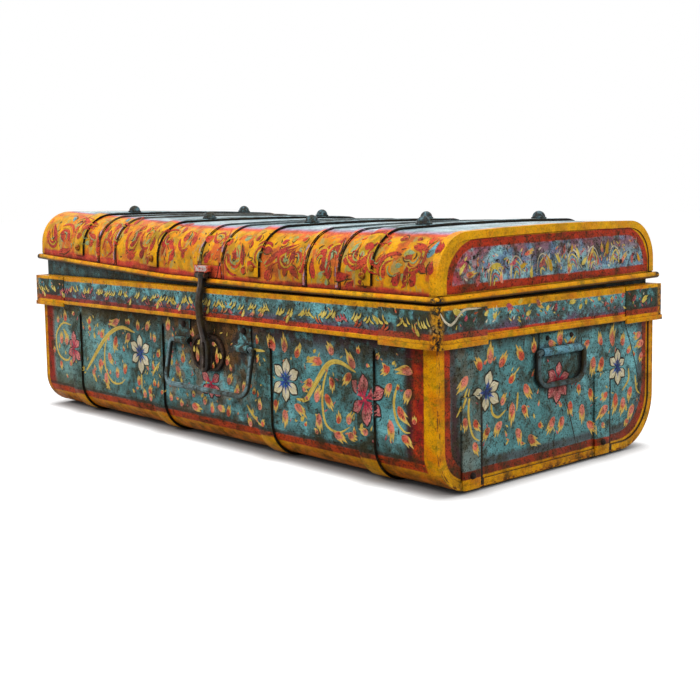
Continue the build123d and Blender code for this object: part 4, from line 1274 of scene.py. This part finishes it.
BAND_END_MARKS = [
    (-164, 180, -150, 174), (-147, 168, -145, 174), (-105, 167, -100, 174), (-86, 179, -74, 174),
    (-68, 180, -60, 183), (-56, 167, -48, 171), (-39, 181, -28, 172), (-9, 167, -7, 176),
    (15, 175, 26, 176), (43, 170, 44, 176), (64, 176, 70, 174), (89, 168, 91, 176), (108, 173, 114, 178),
    (145, 165, 156, 172), (-120, 172, -112, 176), (-22, 168, -19, 175), (32, 166, 36, 172),
    (76, 166, 80, 171), (126, 168, 133, 174),
]
CAP_SQUIGGLE = [
    (-181, 178), (-176, 171), (-168, 166), (-161, 169), (-155, 175), (-147, 179), (-135, 179), (-124, 179),
]

LID_SCROLLS = [
    (-339, 26, -359, 50), (-316, 46, -304, 29), (-333, 13, -302, 20), (-330, 41, -319, 28),
    (-289, 39, -302, 66), (-283, 37, -270, 40), (-280, 52, -264, 49), (-286, 65, -247, 55),
    (-247, 26, -245, 38), (-238, 38, -260, 45), (-226, 15, -233, 47), (-220, 48, -223, 59),
    (-205, 41, -210, 52), (-195, 53, -206, 66), (-175, 49, -176, 61), (-170, 66, -186, 91),
    (-146, 57, -145, 69), (-149, 46, -139, 56), (-153, 30, -138, 43), (-158, 20, -137, 28),
    (-127, 21, -119, 35), (-128, 55, -130, 65), (-100, 31, -100, 49), (-112, 16, -101, 25),
    (-80, 38, -83, 59), (-61, 37, -68, 51), (-60, 23, -54, 37), (-105, 71, -114, 89), (-32, 27, -37, 38),
    (-54, 61, -60, 74), (-37, 48, -41, 66), (-18, 44, -26, 59), (-64, 76, -73, 91), (11, 24, 19, 37),
    (5, 50, 10, 58), (6, 49, 12, 59), (16, 27, 20, 37), (48, 47, 54, 56), (71, 30, 65, 44),
    (57, 25, 51, 36), (84, 24, 75, 48), (96, 43, 92, 54), (102, 52, 103, 61), (97, 29, 113, 25),
    (117, 44, 133, 43), (123, 12, 135, 26), (123, 26, 173, 54), (143, 53, 151, 58), (150, 23, 153, 36),
    (157, 16, 156, 28), (170, 30, 170, 45), (166, 27, 180, 15), (183, 21, 184, 30), (174, 57, 178, 64),
    (206, 16, 203, 39), (210, 45, 215, 51), (216, 25, 224, 33), (226, 17, 233, 27), (238, 41, 235, 62),
    (82, 16, 89, 24), (240, 35, 236, 62), (213, 43, 214, 51), (238, 20, 259, 22), (249, 37, 268, 36),
    (259, 47, 269, 47), (277, 51, 291, 52), (274, 30, 291, 44), (283, 25, 288, 33), (254, 9, 266, 17),
    (278, 14, 282, 18), (300, 32, 307, 46), (307, 21, 310, 38), (322, 15, 334, 27), (337, 15, 342, 35),
    (346, 15, 352, 30), (334, 47, 344, 41), (340, 56, 362, 49), (356, 37, 367, 30), (372, 27, 372, 40),
    (360, 59, 357, 69), (315, 65, 326, 64), (339, 66, 345, 64), (373, 48, 371, 62), (303, 57, 307, 60),
]
LID_SAGE = [
    (74, 56, 84, 59), (70, 48, 78, 32), (67, 19, 69, 31), (158, 31, 158, 39), (179, 41, 177, 49),
    (188, 39, 190, 25), (213, 17, 222, 24), (230, 36, 223, 51), (225, 10, 226, 17), (156, 61, 163, 62),
    (256, 46, 264, 58), (256, 31, 266, 29), (275, 45, 282, 42), (224, 22, 224, 40), (332, 46, 345, 48),
    (354, 39, 360, 39), (325, 35, 334, 35), (306, 24, 307, 19), (337, 27, 335, 20), (-262, 30, -250, 34),
    (-300, 52, -292, 58), (-240, 62, -228, 68), (-118, 40, -112, 48), (-72, 66, -80, 74),
]
LID_BLUE = [
    (364, 43, 368, 64), (-318, 60, -330, 70), (-196, 72, -206, 84),
]
LID_CURLS = [
    ((-77, 29), (-73, 46), (-56, 37), (-65, 18)), ((-217, 25), (-211, 40), (-193, 27), (-207, 16)),
    ((342, 35), (342, 20), (334, 13)), ((12, 64), (24, 50), (40, 60), (30, 74)),
    ((262, 62), (282, 72), (300, 66), (296, 52)),
]
# middle, half width, half height, angle in degrees where the first arc starts
LID_RINGS = [
    (-321, 34, 24, 20, 60), (-352, 36, 16, 18, 190), (-262, 42, 16, 18, 20), (-182, 46, 17, 20, 100),
    (-150, 47, 13, 19, 110), (-118, 52, 15, 18, 200), (-72, 48, 17, 17, 30), (-36, 54, 15, 18, 150),
    (24, 56, 18, 15, 220), (69, 32, 18, 17, 120), (118, 36, 14, 16, 90), (160, 40, 15, 18, 120),
    (176, 34, 13, 16, -60), (214, 34, 12, 18, -80), (232, 40, 13, 17, 90), (268, 44, 16, 16, 200),
    (300, 40, 14, 17, 30), (321, 29, 20, 17, 100), (348, 44, 14, 16, 200), (-300, 60, 16, 14, -50),
]
# the arcs of each ring: its share of the ring's size, its width, its paint
RING_ARCS = (
    (1.0, 4.0, "scroll"), (0.78, 2.4, "gold"), (0.58, 3.2, "scroll"), (0.38, 2.0, "sage"),
    (0.22, 1.6, "umber"),
)

LID_END_MARKS = [
    (-145, 212, -137, 223), (-136, 212, -120, 213), (-121, 199, -116, 213), (-102, 213, -100, 217),
    (-100, 217, -82, 216), (-84, 200, -85, 212), (-72, 217, -59, 225), (-56, 214, -45, 217),
    (-38, 202, -37, 215), (-49, 226, -33, 230), (-26, 212, -14, 224), (-5, 206, -14, 224), (8, 214, 0, 224),
    (22, 201, 28, 213), (15, 223, 17, 233), (28, 224, 29, 233), (45, 210, 54, 219), (56, 213, 66, 229),
    (74, 208, 72, 219), (91, 218, 93, 233), (101, 212, 103, 218), (116, 207, 128, 220),
    (137, 206, 138, 218), (152, 207, 147, 217), (41, 217, 35, 229), (83, 221, 81, 232),
]
LID_END_ARCHES = [
    (-96, 200), (-64, 203), (-20, 204), (30, 206), (68, 206), (104, 207),
]


def flipped(points, flip):
    return [(flip * u, v) for u, v in points]


def leaves(layer, face, rows, fat, flip=1):
    for u0, v0, u1, v1 in rows:
        leaf(layer, face, flip * u0, v0, flip * u1, v1, fat)


def lines(layer, face, rows, width, flip=1, paint="vine", height=0.05):
    for points in rows:
        brush(layer, face, flipped(points, flip), width, paint, "line", height)


def paint_front(face, flip=1):
    layer = []
    lines(layer, face, FRONT_THICK_VINES, 6.0, flip)
    lines(layer, face, FRONT_VINES, 3.2, flip)
    leaves(layer, face, FRONT_LEAVES, 1.2, flip)
    leaves(layer, face, FRONT_FAT_LEAVES, 1.35, flip)
    centres = flipped([spot[:2] for spot in FRONT_FLOWERS + [BAIL_FLOWER]], flip)
    small_leaves(layer, face, (-345, 335, 38, 130), 70, centres, 1.0)
    for u, v, *rest in FRONT_FLOWERS:
        flower(layer, face, flip * u, v, *rest)
    u, v, tips = BAIL_FLOWER
    lay_petals(layer, face, flip * u, v, flipped(tips, flip), "pink", "rose_eye")
    specks(layer, face, (-345, 335, 38, 134), 190, ("vine", "leaf", "pink", "vine", "outline"))
    return layer


def paint_end(face):
    layer = []
    lines(layer, face, END_VINES, 2.8)
    lines(layer, face, END_CREASES, 1.3, paint="crack", height=0.2)
    leaves(layer, face, END_LEAVES, 1.15)
    leaves(layer, face, END_FAT_LEAVES, 1.3)
    small_leaves(layer, face, (-138, 148, 34, 132), 16, [spot[:2] for spot in END_FLOWERS], 0.7)
    for spot in END_FLOWERS:
        lay_petals(layer, face, *spot)
    specks(layer, face, (-140, 150, 34, 124), 70, ("vine", "leaf", "pink", "outline"))
    return layer


def comb(layer, face, u, v, turn, teeth, paint):
    """A few slanting strokes side by side, each shadowed in dark paint."""
    for k in range(teeth):
        tall = random.uniform(5.5, 9.5)
        lean = turn * random.uniform(4.5, 8.0)
        u0, v0 = u + random.uniform(3.4, 4.6) * k, max(v - tall / 2 + random.uniform(-1.5, 1.5), 158.2)
        top = min(v0 + tall, 177.3)
        points = ((u0, v0), (u0 + lean * 0.65, (v0 + top) / 2 - 1.0), (u0 + lean, top))
        brush(layer, face, [(a + 1.9, b - 0.7) for a, b in points], 1.5, "outline", "line", 0.05)
        brush(layer, face, points, random.uniform(1.8, 3.2), paint, "dab", 0.09)
    if random.random() < 0.35:
        leaf(layer, face, u + 5, v - 5, u + 5 + turn * 5, v + 3, 0.9, "lemon", tips=2)


def paint_band(face, left=-372, right=372):
    """Slanting strokes in twos and threes along a long side of the band."""
    layer = []
    u = left
    while u < right:
        paint = random.choice(("lemon", "lemon", "lemon", "vine", "blush"))
        turn = random.choice((1, 1, 1, -1) if u < 120 else (1, -1, -1))
        comb(layer, face, u, random.uniform(166, 170), turn, random.choice((2, 3, 4)), paint)
        u += random.uniform(14, 19) * (1.2 if u < -140 else 1)
    u = left + 6
    while u < right:
        v, turn = random.uniform(159.5, 161.5), random.choice((1, -1))
        comb(layer, face, u, v, turn, 2, random.choice(("blush", "rust", "leaf")))
        u += random.uniform(12, 22) if -110 < u < 110 else random.uniform(35, 60)
    specks(layer, face, (left, right, 160, 176), 150, ("outline", "outline", "outline", "leaf", "sky"))
    return layer


def paint_end_band(face):
    layer = []
    for row in BAND_END_MARKS:
        leaf(layer, face, *row, 0.9, random.choice(("lemon", "lemon", "leaf", "blush")))
    specks(layer, face, (-165, 165, 160, 176), 70, ("blush", "lemon", "blush", "bone", "rust"))
    return layer


def paint_lid(face, flip=1):
    layer = []
    lines(layer, face, LID_CURLS, 4.0, flip, "scroll", 0.2)
    for u, v, wide, tall, start in LID_RINGS:
        shift = 0
        for size, width, paint in RING_ARCS:
            shift += random.uniform(-50, 80)
            sweep = random.uniform(95, 190)
            cu, cv = u + random.uniform(-2.5, 2.5), v + random.uniform(-2, 2)
            angles = [math.radians(start + shift + sweep * k / 6) for k in range(7)]
            points = [(cu + size * wide * math.cos(a), max(cv + size * tall * math.sin(a), 10))
                      for a in angles]
            lines(layer, face, [points], width * random.uniform(0.8, 1.2), flip, paint, 0.24)
    big_strokes = ((LID_SCROLLS, "scroll", 1.35), (LID_SAGE, "sage", 1.2), (LID_BLUE, "sky", 1.0))
    for strokes, paint, fat in big_strokes:
        for k, (u0, v0, u1, v1) in enumerate(strokes):
            leaf(layer, face, flip * u0, v0, flip * u1, v1, fat, paint, tips=(1, 2, 1)[k % 3])
            hatch(layer, face, u0, v0, u1, v1, ("umber", "umber", "sage", "scroll", "gold"), flip)
    specks(layer, face, (-360, 360, 14, 62), 150, ("umber", "sage", "scroll", "umber"))
    return layer


def paint_lid_end(face):
    layer = []
    for u, v in LID_END_ARCHES:
        u += random.uniform(-5, 5)
        v += random.uniform(-2, 1)
        high = random.uniform(14, 20)
        for size, paint in ((1.15, "bone"), (0.9, "lemon"), (0.62, "blush"), (0.36, "lemon")):
            lean = random.uniform(-3, 3)
            points = [(u - 9 * size, v), (u - 6 * size + lean, v + high * 0.75 * size),
                      (u + lean, v + high * size), (u + 7 * size, v + high * 0.7 * size),
                      (u + 9 * size, v + random.uniform(0, 6))]
            points = points[random.choice((0, 0, 1)):]
            brush(layer, face, points, random.uniform(1.2, 1.9), paint, "line", 0.12)
    for k, row in enumerate(LID_END_MARKS):
        leaf(layer, face, *row, 0.8, ("lemon", "leaf", "blush", "gold")[k % 4], tips=(2, 3, 1)[k % 3])
    specks(layer, face, (-142, 146, 205, 230), 130, ("lemon", "blush", "bone", "leaf", "outline"))
    brush(layer, face, ((113, 209), (119, 209.5)), 5.0, "crack", "eye", 0.2)
    return layer


layer = paint_front(front_face)
for *row, paint in LOCK_LEAVES:
    leaf(layer, lock_face, *row, 1.15, paint, tips=2)
finish_layer("front_ornament", layer)
finish_layer("back_ornament", paint_front(mirrored(plain_side, Y), -1), True)
finish_layer("right_end_ornament", paint_end(right_face))
finish_layer("left_end_ornament", paint_end(mirrored(right_face, X)), True)
finish_layer("band_front_marks", paint_band(band_face))
finish_layer("band_back_marks", paint_band(mirrored(band_face, Y)), True)
layer = paint_end_band(end_band_face)
brush(layer, end_band_face, CAP_SQUIGGLE, 2.6, "bone", "line", 0.2)
finish_layer("band_right_marks", layer)
finish_layer("band_left_marks", paint_end_band(mirrored(end_band_face, X)), True)
finish_layer("lid_front_ornament", paint_lid(lid_face))
finish_layer("lid_back_ornament", paint_lid(lid_back_face, -1), True)
finish_layer("lid_right_end_ornament", paint_lid_end(lid_end_face))
finish_layer("lid_left_end_ornament", paint_lid_end(left_lid_end_face), True)

for stroke in STROKES.values():
    bpy.data.objects.remove(stroke)

# ---- floor, light and camera -----------------------------------------------------------------

FLOOR_GLOW, FLOOR_PAPER = 0.86, 0.36
SKY = 0.42
WHITE = (1, 1, 1, 1)
LAMPS = (
    ("window_left", (-1.3, -2.3, 2.0), 0.9, 38),
    ("window_right", (2.6, -0.7, 1.7), 1.0, 31),
    ("skylight", (0.1, -0.2, 2.6), 1.8, 42),
)
CAMERA_AT = (1.1069, -0.9419, 0.2828)
CAMERA_YAW, CAMERA_PITCH, CAMERA_ROLL = 0.81855, 0.09672, -0.01386
CAMERA_LENS = 58.92
CAMERA_SHIFT = (-0.0281, -0.056)


def seen_plainly(g):
    """1 for what the camera sees straight or in a reflection, 0 for the light that fills the room."""
    path = g.node("ShaderNodeLightPath").outputs
    return g.most(path["Is Camera Ray"], path["Is Glossy Ray"])


def make_floor():
    bpy.ops.object.select_all(action="DESELECT")
    bpy.ops.mesh.primitive_plane_add(size=30.0, location=(0, 0, 0))
    floor = bpy.context.object
    floor.name = "studio_floor"
    made = bpy.data.materials.new("white_floor")
    made.use_nodes = True
    g = Graph(made.node_tree)
    paper = g.node("ShaderNodeBsdfDiffuse", {"Color": (FLOOR_PAPER, FLOOR_PAPER, FLOOR_PAPER, 1)})
    # the glow dims where the trunk stands close: a painted contact shadow on the floor
    close, wide = g.closeness(0.023, 12), g.closeness(0.12, 8)
    painted_shadow_dimming = g.times(g.math("POWER", close, 1.9), g.add(0.84, g.times(wide, 0.16)))
    strength = g.times(seen_plainly(g), FLOOR_GLOW, painted_shadow_dimming)
    glow = g.node("ShaderNodeEmission", {"Color": WHITE, "Strength": strength})
    both = g.node("ShaderNodeAddShader", {0: paper.outputs[0], 1: glow.outputs[0]})
    g.plug(g.node("ShaderNodeOutputMaterial").inputs[0], both.outputs[0])
    floor.data.materials.append(made)


def make_sky():
    world = bpy.data.worlds.new("studio")
    bpy.context.scene.world = world
    world.use_nodes = True
    g = Graph(world.node_tree)
    strength = g.add(SKY, g.times(seen_plainly(g), 1 - SKY))
    back = g.node("ShaderNodeBackground", {"Color": WHITE, "Strength": strength})
    g.plug(g.node("ShaderNodeOutputWorld").inputs[0], back.outputs[0])


def make_lamp(name, where, size, power):
    bpy.ops.object.light_add(type="AREA", location=where)
    lamp = bpy.context.object
    lamp.name = name
    lamp.data.size = size
    lamp.data.energy = power
    aim = Vector((0, 0, 0.12)) - Vector(where)
    lamp.rotation_euler = aim.to_track_quat("-Z", "Y").to_euler()


def make_camera():
    data = bpy.data.cameras.new("view")
    camera = bpy.data.objects.new("view", data)
    bpy.context.scene.collection.objects.link(camera)
    sy, cy = math.sin(CAMERA_YAW), math.cos(CAMERA_YAW)
    sp, cp = math.sin(CAMERA_PITCH), math.cos(CAMERA_PITCH)
    forward = Vector((-sy * cp, cy * cp, -sp))
    level = Vector((cy, sy, 0))
    upright = level.cross(forward)
    sr, cr = math.sin(CAMERA_ROLL), math.cos(CAMERA_ROLL)
    right = cr * level + sr * upright
    up = cr * upright - sr * level
    turn = Matrix((right, up, -forward)).transposed().to_4x4()
    camera.matrix_world = Matrix.Translation(CAMERA_AT) @ turn
    data.lens = CAMERA_LENS
    data.sensor_width = 36.0
    data.shift_x, data.shift_y = CAMERA_SHIFT
    bpy.context.scene.camera = camera


make_floor()
make_sky()
for lamp in LAMPS:
    make_lamp(*lamp)
make_camera()
bpy.context.scene.view_settings.view_transform = "Standard"
